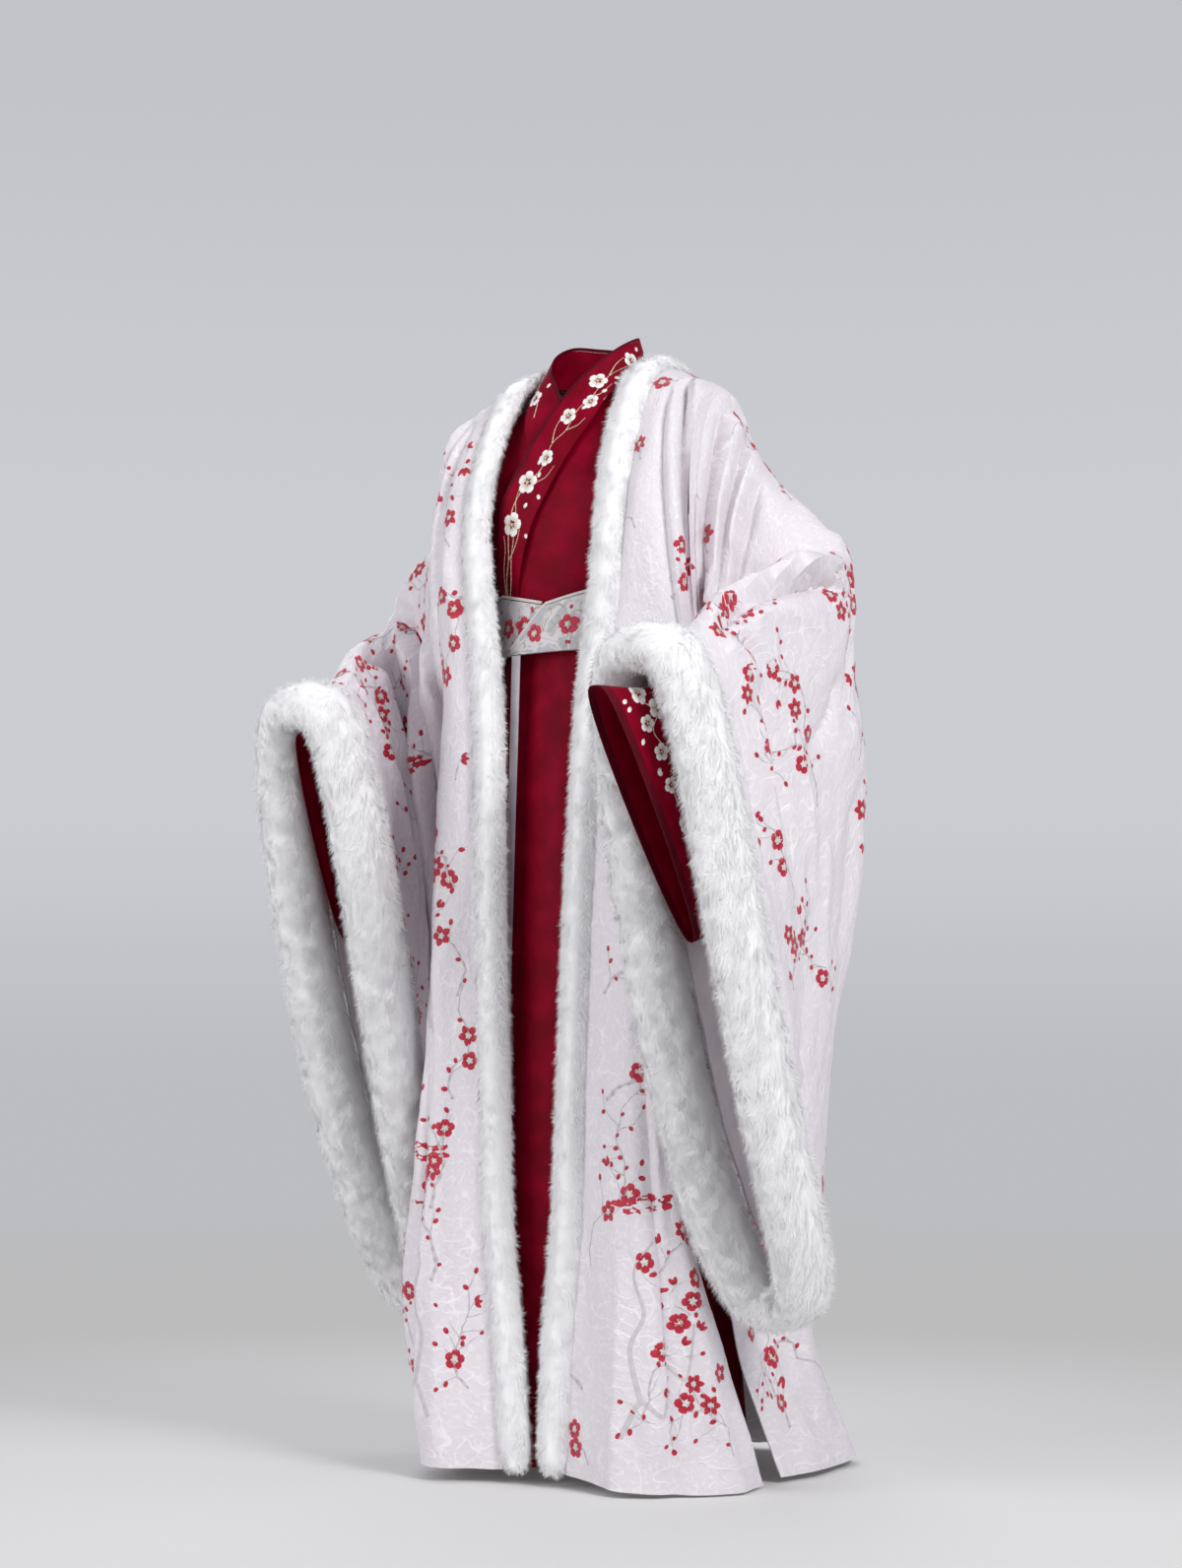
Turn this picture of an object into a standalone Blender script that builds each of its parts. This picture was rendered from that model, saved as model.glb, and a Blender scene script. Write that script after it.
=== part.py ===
"""Open fur-edged outer robe over a red cross-collar robe with a wrapped belt, as worn on a figure.

Metres, +Z up, +X is the wearer's left, -Y the front.  The origin is the middle of the neck at
shoulder height, where the wearer holds the robe up; the ground is FLOOR below it.
Each cloth piece is a grid of points on its middle surface, given a wall.
"""

import math

import bmesh
import bpy
import numpy as np

FLOOR = -1.46
HEM = -1.445
SEAM = 0.0003
OUTER_CLOTH = 0.0018
INNER_CLOTH = 0.0014
LINING_CLOTH = 0.0010
COLLAR_CLOTH = 0.0020
BELT_CLOTH = 0.0030
RIBBON_CLOTH = 0.0010

ARMPIT = -0.42
INNER_ARMHOLE_X = 0.172

FUR_HALF_WIDTH = 0.027
FUR_HALF_THICK = 0.013
CUFF_FUR_HALF_WIDTH = 0.048
CUFF_FUR_HALF_THICK = 0.033
CUFF_FUR_OUT = 0.008
FUR_GAP = 0.0036

WAIST = -0.305
BELT_TOP = -0.266
BELT_NOTCH = -0.285
BELT_BOTTOM = -0.348
BELT_TIP_X = -0.062
TRIM_RADIUS = 0.0024

COLOURS = {
    "outer_satin": ((0.80, 0.74, 0.78), 0.45),
    "lining_satin": ((0.84, 0.80, 0.82), 0.40),
    "white_fur": ((0.90, 0.90, 0.91), 0.95),
    "crimson_satin": ((0.28, 0.01, 0.03), 0.40),
    "dark_red_edge": ((0.13, 0.01, 0.03), 0.45),
    "belt_brocade": ((0.62, 0.60, 0.63), 0.50),
    "belt_cord": ((0.72, 0.68, 0.66), 0.60),
    "silver_ribbon": ((0.45, 0.43, 0.46), 0.35),
}


def material(slot):
    """One plain finish for each kind of cloth."""
    found = bpy.data.materials.get(slot)
    if found:
        return found
    colour, roughness = COLOURS[slot]
    made = bpy.data.materials.new(slot)
    made.use_nodes = True
    shader = made.node_tree.nodes["Principled BSDF"]
    shader.inputs["Base Color"].default_value = (*colour, 1.0)
    shader.inputs["Roughness"].default_value = roughness
    shader.inputs["Metallic"].default_value = 0.0
    return made


def through(table, t):
    """Smooth curve through a table's rows: its first column is the parameter, the rest the values."""
    table = np.array(table, float)
    knots, values = table[:, 0], table[:, 1:]
    slopes = np.gradient(values, knots, axis=0)
    t = np.asarray(t, float)
    i = np.clip(np.searchsorted(knots, t, side="right") - 1, 0, len(knots) - 2)
    span = (knots[i + 1] - knots[i])[..., None]
    f = (t - knots[i])[..., None] / span
    rise = values[i + 1] - values[i]
    ease = f * f * (3 - 2 * f)
    return (
        values[i]
        + rise * ease
        + span * slopes[i] * f * (1 - f) ** 2
        - span * slopes[i + 1] * f * f * (1 - f)
    )


def unit(vectors):
    """Each vector at length one."""
    return vectors / np.linalg.norm(vectors, axis=-1, keepdims=True)


def grid_normals(points, around=False):
    """Normal of a grid surface at each point, from the steps along its two directions."""
    if around:
        along_u = np.roll(points, -1, axis=0) - np.roll(points, 1, axis=0)
    else:
        along_u = np.gradient(points, axis=0)
    along_v = np.gradient(points, axis=1)
    return unit(np.cross(along_u, along_v))


def add_solid(name, vertices, faces, slot):
    """One named closed object with its faces pointing out."""
    mesh = bpy.data.meshes.new(name)
    mesh.from_pydata([tuple(v) for v in vertices], [], faces)
    shape = bmesh.new()
    shape.from_mesh(mesh)
    if shape.calc_volume(signed=True) < 0:
        bmesh.ops.reverse_faces(shape, faces=shape.faces)
    shape.to_mesh(mesh)
    shape.free()
    mesh.materials.append(material(slot))
    mesh.shade_smooth()
    mesh.set_sharp_from_angle(angle=math.radians(40))
    made = bpy.data.objects.new(name, mesh)
    bpy.context.scene.collection.objects.link(made)
    return made


def wall(name, points, thick, slot, around=False, hold=None):
    """Cloth of one thickness on a grid of points; hold keeps its edges off their seams."""
    n, m = points.shape[:2]
    shift = grid_normals(points, around) * thick / 2
    sides = np.stack([points + shift, points - shift])
    if hold:
        hold(sides)
    index = np.arange(2 * n * m).reshape(2, n, m)
    faces = []
    rows = n if around else n - 1
    for i in range(rows):
        j = (i + 1) % n
        for k in range(m - 1):
            faces.append((index[0, i, k], index[0, j, k], index[0, j, k + 1], index[0, i, k + 1]))
            faces.append((index[1, i, k], index[1, i, k + 1], index[1, j, k + 1], index[1, j, k]))
        faces.append((index[0, i, 0], index[1, i, 0], index[1, j, 0], index[0, j, 0]))
        faces.append((index[0, i, -1], index[0, j, -1], index[1, j, -1], index[1, i, -1]))
    if not around:
        for k in range(m - 1):
            faces.append((index[0, 0, k], index[0, 0, k + 1], index[1, 0, k + 1], index[1, 0, k]))
            faces.append((index[0, -1, k], index[1, -1, k], index[1, -1, k + 1], index[0, -1, k + 1]))
    return add_solid(name, sides.reshape(-1, 3), faces, slot)


# How much of its size an open roll keeps at its ends.
ROLL_END = 0.82


def bar(name, path, wide, half_width, half_thick, slot, closed=False, sides=8, hold=None):
    """An oval roll along a path; wide is the direction of its width at each point."""
    if closed:
        tangent = np.roll(path, -1, axis=0) - np.roll(path, 1, axis=0)
    else:
        tangent = np.gradient(path, axis=0)
    tangent = unit(tangent)
    wide = unit(wide - tangent * np.sum(wide * tangent, axis=-1, keepdims=True))
    thick = np.cross(tangent, wide)
    turn = np.linspace(0, 2 * np.pi, sides, endpoint=False)
    size = np.ones(len(path))
    if not closed:
        size[0] = size[-1] = ROLL_END
    across = (
        np.cos(turn)[None, :, None] * wide[:, None] * half_width
        + np.sin(turn)[None, :, None] * thick[:, None] * half_thick
    )
    points = path[:, None] + across * size[:, None, None]
    if hold:
        hold(points)
    count = len(path)
    index = np.arange(count * sides).reshape(count, sides)
    faces = []
    for i in range(count if closed else count - 1):
        j = (i + 1) % count
        for k in range(sides):
            m = (k + 1) % sides
            faces.append((index[i, k], index[i, m], index[j, m], index[j, k]))
    if not closed:
        faces.append(tuple(index[0, ::-1]))
        faces.append(tuple(index[-1]))
    return add_solid(name, points.reshape(-1, 3), faces, slot)


def mirror(points, side):
    """The wearer's left is modelled; the right is its mirror image."""
    return points * np.array([side, 1.0, 1.0])


def named(stem, side):
    """A piece's name with the wearer's side."""
    return f"{stem}_left" if side > 0 else f"{stem}_right"


# The armhole of the outer robe on the wearer's left (1) and right (-1): how far out it lies,
# how high its top is, half its depth, how much narrower the cloth hangs on that side, and how
# much higher its hem is.
ARMHOLES = {
    # side: x,   top,    half depth, narrower, hem lift
    1: (0.225, -0.002, 0.080, 1.00, 0.000),
    -1: (0.205, -0.008, 0.066, 0.86, 0.020),
}
LIFT_BELOW = -1.15


# The fur edge of the front opening, from the front hem (0) up over the shoulder (0.8) to the
# centre back of the neck (1): its middle line on each side, and the way its width lies.
FUR_EDGE = [
    # t,   x left, x right, y,      z,      wide x, wide y, wide z
    (0.00, 0.030, 0.030, -0.130, -1.442, 1.00, 0.00, 0.00),
    (0.08, 0.040, 0.040, -0.135, -1.285, 1.00, 0.00, 0.00),
    (0.18, 0.058, 0.056, -0.137, -1.110, 1.00, 0.00, 0.00),
    (0.30, 0.066, 0.064, -0.136, -0.895, 1.00, -0.05, 0.00),
    (0.44, 0.077, 0.073, -0.134, -0.640, 1.00, -0.08, 0.00),
    (0.57, 0.093, 0.083, -0.130, -0.400, 1.00, -0.08, 0.00),
    (0.64, 0.112, 0.095, -0.129, -0.280, 1.00, 0.05, 0.00),
    (0.70, 0.120, 0.106, -0.124, -0.170, 1.00, 0.15, -0.05),
    (0.75, 0.118, 0.106, -0.103, -0.080, 1.00, 0.15, -0.15),
    (0.80, 0.112, 0.105, -0.052, 0.016, 1.00, 0.00, -0.30),
    (0.86, 0.108, 0.102, 0.015, 0.055, 0.95, 0.10, -0.35),
    (0.92, 0.090, 0.086, 0.084, 0.053, 0.65, 0.60, -0.45),
    (0.96, 0.052, 0.050, 0.120, 0.043, 0.35, 0.75, -0.55),
    (1.00, 0.000, 0.000, 0.130, 0.038, 0.00, 0.82, -0.57),
]

# Centre-back seam of the outer robe, from the neck (1) to the train (2).
CENTRE_BACK = [
    # t,   y,     z
    (1.00, 0.1556, 0.0202),
    (1.12, 0.164, -0.125),
    (1.30, 0.168, -0.360),
    (1.50, 0.180, -0.680),
    (1.70, 0.205, -1.000),
    (1.86, 0.270, -1.270),
    (2.00, 0.390, -1.450),
]

# Outer edge of each half of the outer robe below the armhole, and the point that each row of
# cloth leans towards on its way from its inner edge to its outer one.
SLIT_FRONT = [
    # t,   x,     y,      z
    (0.00, 0.262, 0.020, -1.456),
    (0.06, 0.256, -0.040, -1.345),
    (0.13, 0.245, -0.090, -1.210),
    (0.24, 0.222, -0.118, -1.030),
    (0.37, 0.216, -0.080, -0.800),
    (0.52, 0.221, -0.012, -0.520),
]
SLIT_BACK = [
    (1.32, 0.221, -0.004, -0.520),
    (1.50, 0.220, -0.022, -0.800),
    (1.72, 0.222, -0.018, -1.130),
    (1.86, 0.230, 0.010, -1.290),
    (2.00, 0.255, 0.078, -1.452),
]
SIDE_SEAM_Y = 0.0016
LEAN = [
    # t,   x,     y,      z
    (0.00, 0.278, -0.225, -1.462),
    (0.13, 0.250, -0.205, -1.215),
    (0.24, 0.225, -0.190, -1.035),
    (0.37, 0.215, -0.190, -0.800),
    (0.52, 0.222, -0.165, -0.500),
    (0.60, 0.222, -0.150, -0.340),
    (0.68, 0.205, -0.150, -0.180),
    (0.74, 0.185, -0.120, -0.050),
    (0.80, 0.172, -0.040, 0.030),
    (0.86, 0.170, 0.040, 0.030),
    (1.00, 0.150, 0.155, -0.060),
    (1.12, 0.215, 0.170, -0.180),
    (1.30, 0.240, 0.180, -0.420),
    (1.50, 0.250, 0.210, -0.750),
    (1.70, 0.260, 0.250, -1.050),
    (1.86, 0.270, 0.340, -1.290),
    (2.00, 0.290, 0.440, -1.450),
]
ARMHOLE_FROM, ARMHOLE_PEAK, ARMHOLE_TO = 0.60, 0.82, 1.24


def armhole(q, x, top, armpit, half_depth):
    """Closed upright loop: q runs from the armpit up the back to the top and down the front."""
    turn = 2 * np.pi * np.asarray(q, float)
    height = (1 - np.cos(turn)) / 2
    z = armpit + (top - armpit) * height
    y = np.sign(np.sin(turn)) * np.abs(np.sin(turn)) ** 0.8 * half_depth
    return np.stack([np.full_like(z, x), y, z], axis=-1)


def narrowed(table, side):
    """A table's rows with their x drawn in, and their hem lifted, on the narrower side."""
    _, _, _, factor, lift = ARMHOLES[side]
    return [
        (t, x * factor, y, z + lift * max(0.0, (LIFT_BELOW - z) / (LIFT_BELOW - HEM)))
        for t, x, y, z in table
    ]


def outer_side_edge(t, side):
    """Outer edge of a body half: front slit, side seam, armhole, side seam, back slit."""
    x, top, half_depth = ARMHOLES[side][:3]
    up = armhole(np.linspace(1.0, 0.5, 7), x, top, ARMPIT, half_depth)
    down = armhole(np.linspace(0.5, 0.0, 8)[1:], x, top, ARMPIT, half_depth)
    up[0, 1] = -SIDE_SEAM_Y
    down[-1, 1] = SIDE_SEAM_Y
    t_up = np.linspace(ARMHOLE_FROM, ARMHOLE_PEAK, 7)
    t_down = np.linspace(ARMHOLE_PEAK, ARMHOLE_TO, 8)[1:]
    rows = narrowed(SLIT_FRONT, side)
    rows += [(a, *p) for a, p in zip(t_up, up)]
    rows += [(a, *p) for a, p in zip(t_down, down)]
    rows += narrowed(SLIT_BACK, side)
    return through(rows, t)


def fur_line(t, side):
    """Middle line of the fur edge and the direction of its width, on one side."""
    row = through(FUR_EDGE, t)
    x = row[..., 0] if side > 0 else row[..., 1]
    path = np.stack([x, row[..., 2], row[..., 3]], axis=-1)
    return path, unit(row[..., 4:7])


def outer_inner_edge(t, side):
    """Inner edge of a body half: beside the fur edge, then down the centre-back seam."""
    path, wide = fur_line(np.minimum(t, 1.0), side)
    beside_fur = path + wide * (FUR_HALF_WIDTH + FUR_GAP)
    seam = through(CENTRE_BACK, np.maximum(t, 1.0))
    centre = np.stack([np.full_like(seam[..., 0], SEAM / 2), seam[..., 0], seam[..., 1]], axis=-1)
    return np.where((t < 1.0)[..., None], beside_fur, centre)


def rows_of_cloth(inner, lean, outer, across):
    """Each row curves from its inner edge to its outer one, leaning towards a third point."""
    u = across[:, None, None]
    return inner * (1 - u) ** 2 + lean * 2 * u * (1 - u) + outer * u * u


# Large hanging folds of a body half: where each lies across the cloth and along it,
# and how far it stands out and how wide it is.
BODY_FOLDS = [
    # t from, t to, u,    stands out, width
    (-0.10, 0.34, 0.30, 0.010, 0.10),
    (-0.10, 0.45, 0.62, -0.012, 0.09),
    (-0.10, 0.28, 0.86, 0.012, 0.08),
    (0.45, 0.80, 0.72, 0.008, 0.10),
    (1.20, 2.15, 0.16, 0.014, 0.08),
    (1.10, 2.15, 0.36, -0.016, 0.08),
    (1.30, 2.15, 0.56, 0.016, 0.08),
    (1.40, 2.15, 0.78, -0.014, 0.08),
]


def fold_height(u, t, folds):
    """Height of soft ridges and troughs: each fades in and out along its length."""
    height = np.zeros(np.broadcast(u, t).shape)
    for start, end, place, out, width in folds:
        along = np.clip((t - start) / (end - start), 0, 1)
        height = height + out * np.sin(np.pi * along) ** 2 * np.exp(-(((u - place) / width) ** 2))
    return height


def outer_body(side):
    """Front and back of one side in a single length of cloth, folded over the shoulder."""
    t = np.unique(np.concatenate([
        np.linspace(0.0, ARMHOLE_FROM, 8),
        np.linspace(ARMHOLE_FROM, 1.0, 9),
        np.linspace(1.0, ARMHOLE_TO, 6),
        np.linspace(ARMHOLE_TO, 2.0, 8),
    ]))
    u = np.linspace(0, 1, 10)
    lean = through(narrowed(LEAN, side), t)
    points = rows_of_cloth(outer_inner_edge(t, side), lean, outer_side_edge(t, side), u)
    points += grid_normals(points) * fold_height(u[:, None], t[None, :], BODY_FOLDS)[..., None]
    at_armhole = (t >= ARMHOLE_FROM - 0.001) & (t <= ARMHOLE_TO + 0.001)
    on_seam = t >= 0.999
    below_front = t < ARMHOLE_FROM + 0.02
    below_back = t > ARMHOLE_TO - 0.02

    def hold(sides):
        above = sides[..., 2] > ARMPIT - 0.03
        inside = np.minimum(sides[..., 0], ARMHOLES[side][0] - SEAM / 2)
        sides[..., 0] = np.where(above, inside, sides[..., 0])
        sides[:, -1, at_armhole, 0] = ARMHOLES[side][0] - SEAM / 2
        sides[:, 0, on_seam, 0] = SEAM / 2
        near = sides[:, -1, below_front, 1]
        sides[:, -1, below_front, 1] = np.minimum(near, -SIDE_SEAM_Y / 2 + (t[below_front] < 0.1))
        near = sides[:, -1, below_back, 1]
        sides[:, -1, below_back, 1] = np.maximum(near, SIDE_SEAM_Y / 2 - (t[below_back] > 1.30))
        sides[..., 0] *= side

    return wall(named("outer_body", side), points, OUTER_CLOTH, "outer_satin", hold=hold)


def fur_front(side):
    """Rolled fur edge of the opening, joined to its other half at the centre back."""
    path, wide = fur_line(np.linspace(0.0, 1.0, 29), side)

    def hold(points):
        points[-1, :, 0] = SEAM / 2
        points[..., 0] = np.maximum(points[..., 0], SEAM / 2) * side

    name = named("fur_front", side)
    return bar(name, path, wide, FUR_HALF_WIDTH, FUR_HALF_THICK, "white_fur", hold=hold)


# Places round a sleeve's loop, from its bottom seam up the back and down the front.
SLEEVE_ROUND = np.linspace(0, 1, 20, endpoint=False)

# Sleeves: each row is an upright hanging loop from a point on top of the arm to a point on the
# bottom seam.  The angle is the way its width lies (0 is +X, 90 is +Y) and the half widths are
# those near its top, its middle and its bottom.
OUTER_SLEEVE = {
    # s, top x, y, z, bottom x, y, z, angle, half width near the top, middle, bottom
    1: [
        (0.00, 0.225, 0.000, -0.002, 0.225, 0.000, -0.420, 90, 0.080, 0.080, 0.080),
        (0.10, 0.252, 0.010, -0.072, 0.238, 0.010, -0.490, 88, 0.068, 0.078, 0.060),
        (0.22, 0.293, 0.018, -0.134, 0.262, 0.024, -0.600, 80, 0.060, 0.076, 0.048),
        (0.34, 0.336, 0.024, -0.186, 0.292, 0.036, -0.740, 66, 0.058, 0.070, 0.040),
        (0.46, 0.366, 0.012, -0.232, 0.318, 0.038, -0.870, 50, 0.058, 0.068, 0.034),
        (0.58, 0.368, -0.048, -0.262, 0.330, 0.024, -0.980, 30, 0.054, 0.056, 0.032),
        (0.70, 0.356, -0.120, -0.292, 0.338, 0.000, -1.070, 14, 0.052, 0.040, 0.036),
        (0.84, 0.344, -0.205, -0.332, 0.342, -0.040, -1.145, 0, 0.062, 0.050, 0.050),
        (1.00, 0.332, -0.290, -0.382, 0.350, -0.090, -1.190, -10, 0.078, 0.062, 0.080),
    ],
    -1: [
        (0.00, 0.205, 0.000, -0.008, 0.205, 0.000, -0.420, 90, 0.066, 0.066, 0.066),
        (0.10, 0.222, 0.010, -0.098, 0.224, 0.010, -0.490, 88, 0.056, 0.062, 0.052),
        (0.22, 0.272, 0.018, -0.156, 0.254, 0.026, -0.600, 80, 0.052, 0.062, 0.042),
        (0.34, 0.322, 0.022, -0.216, 0.286, 0.046, -0.740, 66, 0.050, 0.056, 0.034),
        (0.46, 0.358, 0.008, -0.262, 0.312, 0.060, -0.880, 50, 0.050, 0.050, 0.030),
        (0.58, 0.364, -0.044, -0.294, 0.322, 0.066, -0.995, 36, 0.050, 0.046, 0.028),
        (0.70, 0.344, -0.108, -0.328, 0.326, 0.060, -1.085, 24, 0.054, 0.048, 0.030),
        (0.84, 0.308, -0.172, -0.368, 0.328, 0.040, -1.160, 12, 0.062, 0.054, 0.034),
        (1.00, 0.269, -0.236, -0.408, 0.315, 0.010, -1.198, 4, 0.069, 0.057, 0.044),
    ],
}

# Folds of a sleeve: from and to along it, place round it (0 the bottom, 0.25 the back, 0.5 the
# top of the arm, 0.75 the front), how far each stands out and how wide it is.
SLEEVE_FOLDS = [
    (-0.10, 0.42, 0.84, -0.012, 0.035),
    (-0.10, 0.50, 0.76, 0.010, 0.035),
    (0.05, 0.60, 0.68, -0.008, 0.030),
    (-0.10, 0.50, 0.14, -0.012, 0.040),
    (-0.10, 0.60, 0.24, 0.012, 0.040),
    (0.10, 0.80, 0.34, -0.008, 0.035),
    (0.30, 0.95, 0.18, 0.008, 0.040),
    (0.35, 0.62, 0.62, -0.010, 0.030),
]


ARMHOLE_BLUNT, TOP_BLUNT, BOTTOM_BLUNT = 0.80, 0.52, 0.62
SLEEVE_SWEEP = 0.075


def end_blunt(height):
    """How square the two ends of a loop are: a lower power is squarer."""
    return BOTTOM_BLUNT + (TOP_BLUNT - BOTTOM_BLUNT) * height


def hanging_loops(table, s, q, sweep=0.0):
    """Loops of a hanging sleeve: s runs from the armhole to the cuff, q once round from the bottom.

    Towards the cuff the lowest part of each loop sweeps back."""
    row = through(table, s)
    top, bottom = row[:, None, 0:3], row[:, None, 3:6]
    angle = np.radians(row[:, 6])
    across = np.stack([np.cos(angle), np.sin(angle), np.zeros_like(angle)], axis=-1)[:, None]
    turn = 2 * np.pi * q[None, :]
    height = (1 - np.cos(turn)) / 2
    w_top, w_middle, w_bottom = row[:, None, 7], row[:, None, 8], row[:, None, 9]
    half = (
        w_bottom * (1 - height) ** 2 * (1 - height)
        + w_middle * (1 - (1 - height) ** 3 - height**3)
        + w_top * height**3
    )
    power = ARMHOLE_BLUNT + (end_blunt(height) - ARMHOLE_BLUNT) * np.clip(s / 0.3, 0, 1)[:, None]
    blunt = np.sign(np.sin(turn)) * np.abs(np.sin(turn)) ** power
    back = sweep * s[:, None] ** 4 * (1 - height) ** 4
    points = bottom + (top - bottom) * height[..., None] + across * (half * blunt)[..., None]
    return points + back[..., None] * np.array([0.0, 1.0, 0.0])


def sleeve_surface(side, s, q):
    """The outer sleeve's cloth, with its larger folds, as if on the wearer's left."""
    points = hanging_loops(OUTER_SLEEVE[side], s, q, SLEEVE_SWEEP)
    folds = fold_height(q[None, :], s[:, None], SLEEVE_FOLDS)
    outward = loop_normals(points)
    return points + outward * folds[..., None]


def loop_normals(points):
    """Outward normals of loops laid one after another along a sleeve."""
    around = np.roll(points, -1, axis=1) - np.roll(points, 1, axis=1)
    along = np.gradient(points, axis=0)
    normal = unit(np.cross(around, along))
    middle = points.mean(axis=1, keepdims=True)
    outward = np.sign(np.sum(normal * (points - middle), axis=(1, 2), keepdims=True))
    return normal * outward


def outer_sleeve(side):
    """Bag sleeve in one folded piece, from the armhole seam to the fur of its mouth."""
    s = np.linspace(0, 1, 11)
    points = sleeve_surface(side, s, SLEEVE_ROUND).transpose(1, 0, 2)

    def hold(sides):
        sides[..., 0] = np.maximum(sides[..., 0], ARMHOLES[side][0] + SEAM / 2)
        sides[:, :, 0, 0] = ARMHOLES[side][0] + SEAM / 2
        sides[..., 0] *= side

    return wall(named("outer_sleeve", side), points, OUTER_CLOTH, "outer_satin", around=True, hold=hold)


LINING_FROM = 0.7
LINING_INSET = 0.0030


def sleeve_lining(side):
    """Satin lining that shows in the sleeve's mouth, just inside the outer cloth."""
    s = np.linspace(LINING_FROM, 1, 4)
    points = sleeve_surface(side, s, SLEEVE_ROUND)
    points = (points - loop_normals(points) * LINING_INSET).transpose(1, 0, 2)

    def hold(sides):
        sides[..., 0] *= side

    return wall(named("sleeve_lining", side), points, LINING_CLOTH, "lining_satin", around=True, hold=hold)


def cuff_fur(side):
    """Fur roll round the sleeve's mouth, continuing the line of its cloth."""
    q = np.linspace(0, 1, 24, endpoint=False)
    edge = hanging_loops(OUTER_SLEEVE[side], np.array([1.0]), q, SLEEVE_SWEEP)[0]
    mouth_up = edge[len(q) // 2] - edge[0]
    mouth_out = edge[len(q) // 4] - edge[-len(q) // 4]
    ahead = unit(np.cross(mouth_out, mouth_up))
    along = unit(np.roll(edge, -1, axis=0) - np.roll(edge, 1, axis=0))
    outward = unit(np.cross(ahead, along))
    outward *= np.sign(np.sum(outward * (edge - edge.mean(axis=0))))
    path = edge + ahead * (CUFF_FUR_HALF_WIDTH + FUR_GAP) + outward * CUFF_FUR_OUT
    wide = np.broadcast_to(ahead, path.shape)

    def hold(points):
        points[..., 0] *= side

    name = named("fur_cuff", side)
    return bar(name, path, wide, CUFF_FUR_HALF_WIDTH, CUFF_FUR_HALF_THICK, "white_fur", closed=True, hold=hold)


# Inner sleeves hang in the same loops, narrower and shorter, and come out past the outer mouth.
INNER_SLEEVE = {
    # s, top x, y, z, bottom x, y, z, angle, half width near the top, middle, bottom
    1: [
        (0.00, 0.172, 0.000, -0.016, 0.172, 0.000, -0.205, 90, 0.052, 0.052, 0.052),
        (0.12, 0.236, 0.008, -0.094, 0.222, 0.010, -0.290, 86, 0.044, 0.046, 0.036),
        (0.28, 0.306, 0.019, -0.180, 0.284, 0.024, -0.390, 76, 0.038, 0.040, 0.028),
        (0.44, 0.362, 0.012, -0.264, 0.346, 0.022, -0.500, 50, 0.036, 0.034, 0.020),
        (0.58, 0.364, -0.055, -0.302, 0.352, -0.020, -0.585, 28, 0.034, 0.030, 0.018),
        (0.72, 0.352, -0.150, -0.358, 0.346, -0.075, -0.665, 12, 0.030, 0.026, 0.018),
        (0.86, 0.336, -0.290, -0.436, 0.342, -0.150, -0.720, -6, 0.022, 0.022, 0.018),
        (1.00, 0.302, -0.425, -0.446, 0.322, -0.240, -0.754, -12, 0.028, 0.024, 0.018),
    ],
    -1: [
        (0.00, 0.172, 0.000, -0.016, 0.172, 0.000, -0.205, 90, 0.052, 0.052, 0.052),
        (0.12, 0.226, 0.008, -0.130, 0.214, 0.010, -0.300, 86, 0.040, 0.042, 0.034),
        (0.28, 0.296, 0.019, -0.218, 0.274, 0.030, -0.395, 76, 0.034, 0.036, 0.024),
        (0.44, 0.356, 0.010, -0.300, 0.336, 0.025, -0.495, 50, 0.029, 0.029, 0.018),
        (0.58, 0.364, -0.046, -0.340, 0.344, -0.005, -0.580, 32, 0.027, 0.026, 0.018),
        (0.72, 0.336, -0.125, -0.378, 0.332, -0.045, -0.650, 20, 0.032, 0.028, 0.018),
        (0.86, 0.288, -0.215, -0.448, 0.306, -0.095, -0.700, 8, 0.021, 0.021, 0.018),
        (1.00, 0.268, -0.300, -0.460, 0.289, -0.175, -0.735, 2, 0.022, 0.021, 0.018),
    ],
}
INNER_ROUND = np.linspace(0, 1, 12, endpoint=False)
INNER_SLEEVE_LENGTH = 0.4
CUFF_EDGE_FROM = 0.965


def inner_sleeve(side):
    """Crimson sleeve with a dark red bound edge at its mouth."""

    def hold(sides):
        sides[..., 0] *= side

    def hold_at_armhole(sides):
        sides[:, :, 0, 0] = INNER_ARMHOLE_X + SEAM / 2
        hold(sides)

    gap = SEAM / 2 / INNER_SLEEVE_LENGTH
    s = np.linspace(0, CUFF_EDGE_FROM - gap, 9)
    points = hanging_loops(INNER_SLEEVE[side], s, INNER_ROUND).transpose(1, 0, 2)
    wall(named("inner_sleeve", side), points, INNER_CLOTH, "crimson_satin", around=True, hold=hold_at_armhole)
    s = np.linspace(CUFF_EDGE_FROM + gap, 1, 2)
    points = hanging_loops(INNER_SLEEVE[side], s, INNER_ROUND).transpose(1, 0, 2)
    wall(named("inner_cuff", side), points, INNER_CLOTH, "dark_red_edge", around=True, hold=hold)


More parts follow.
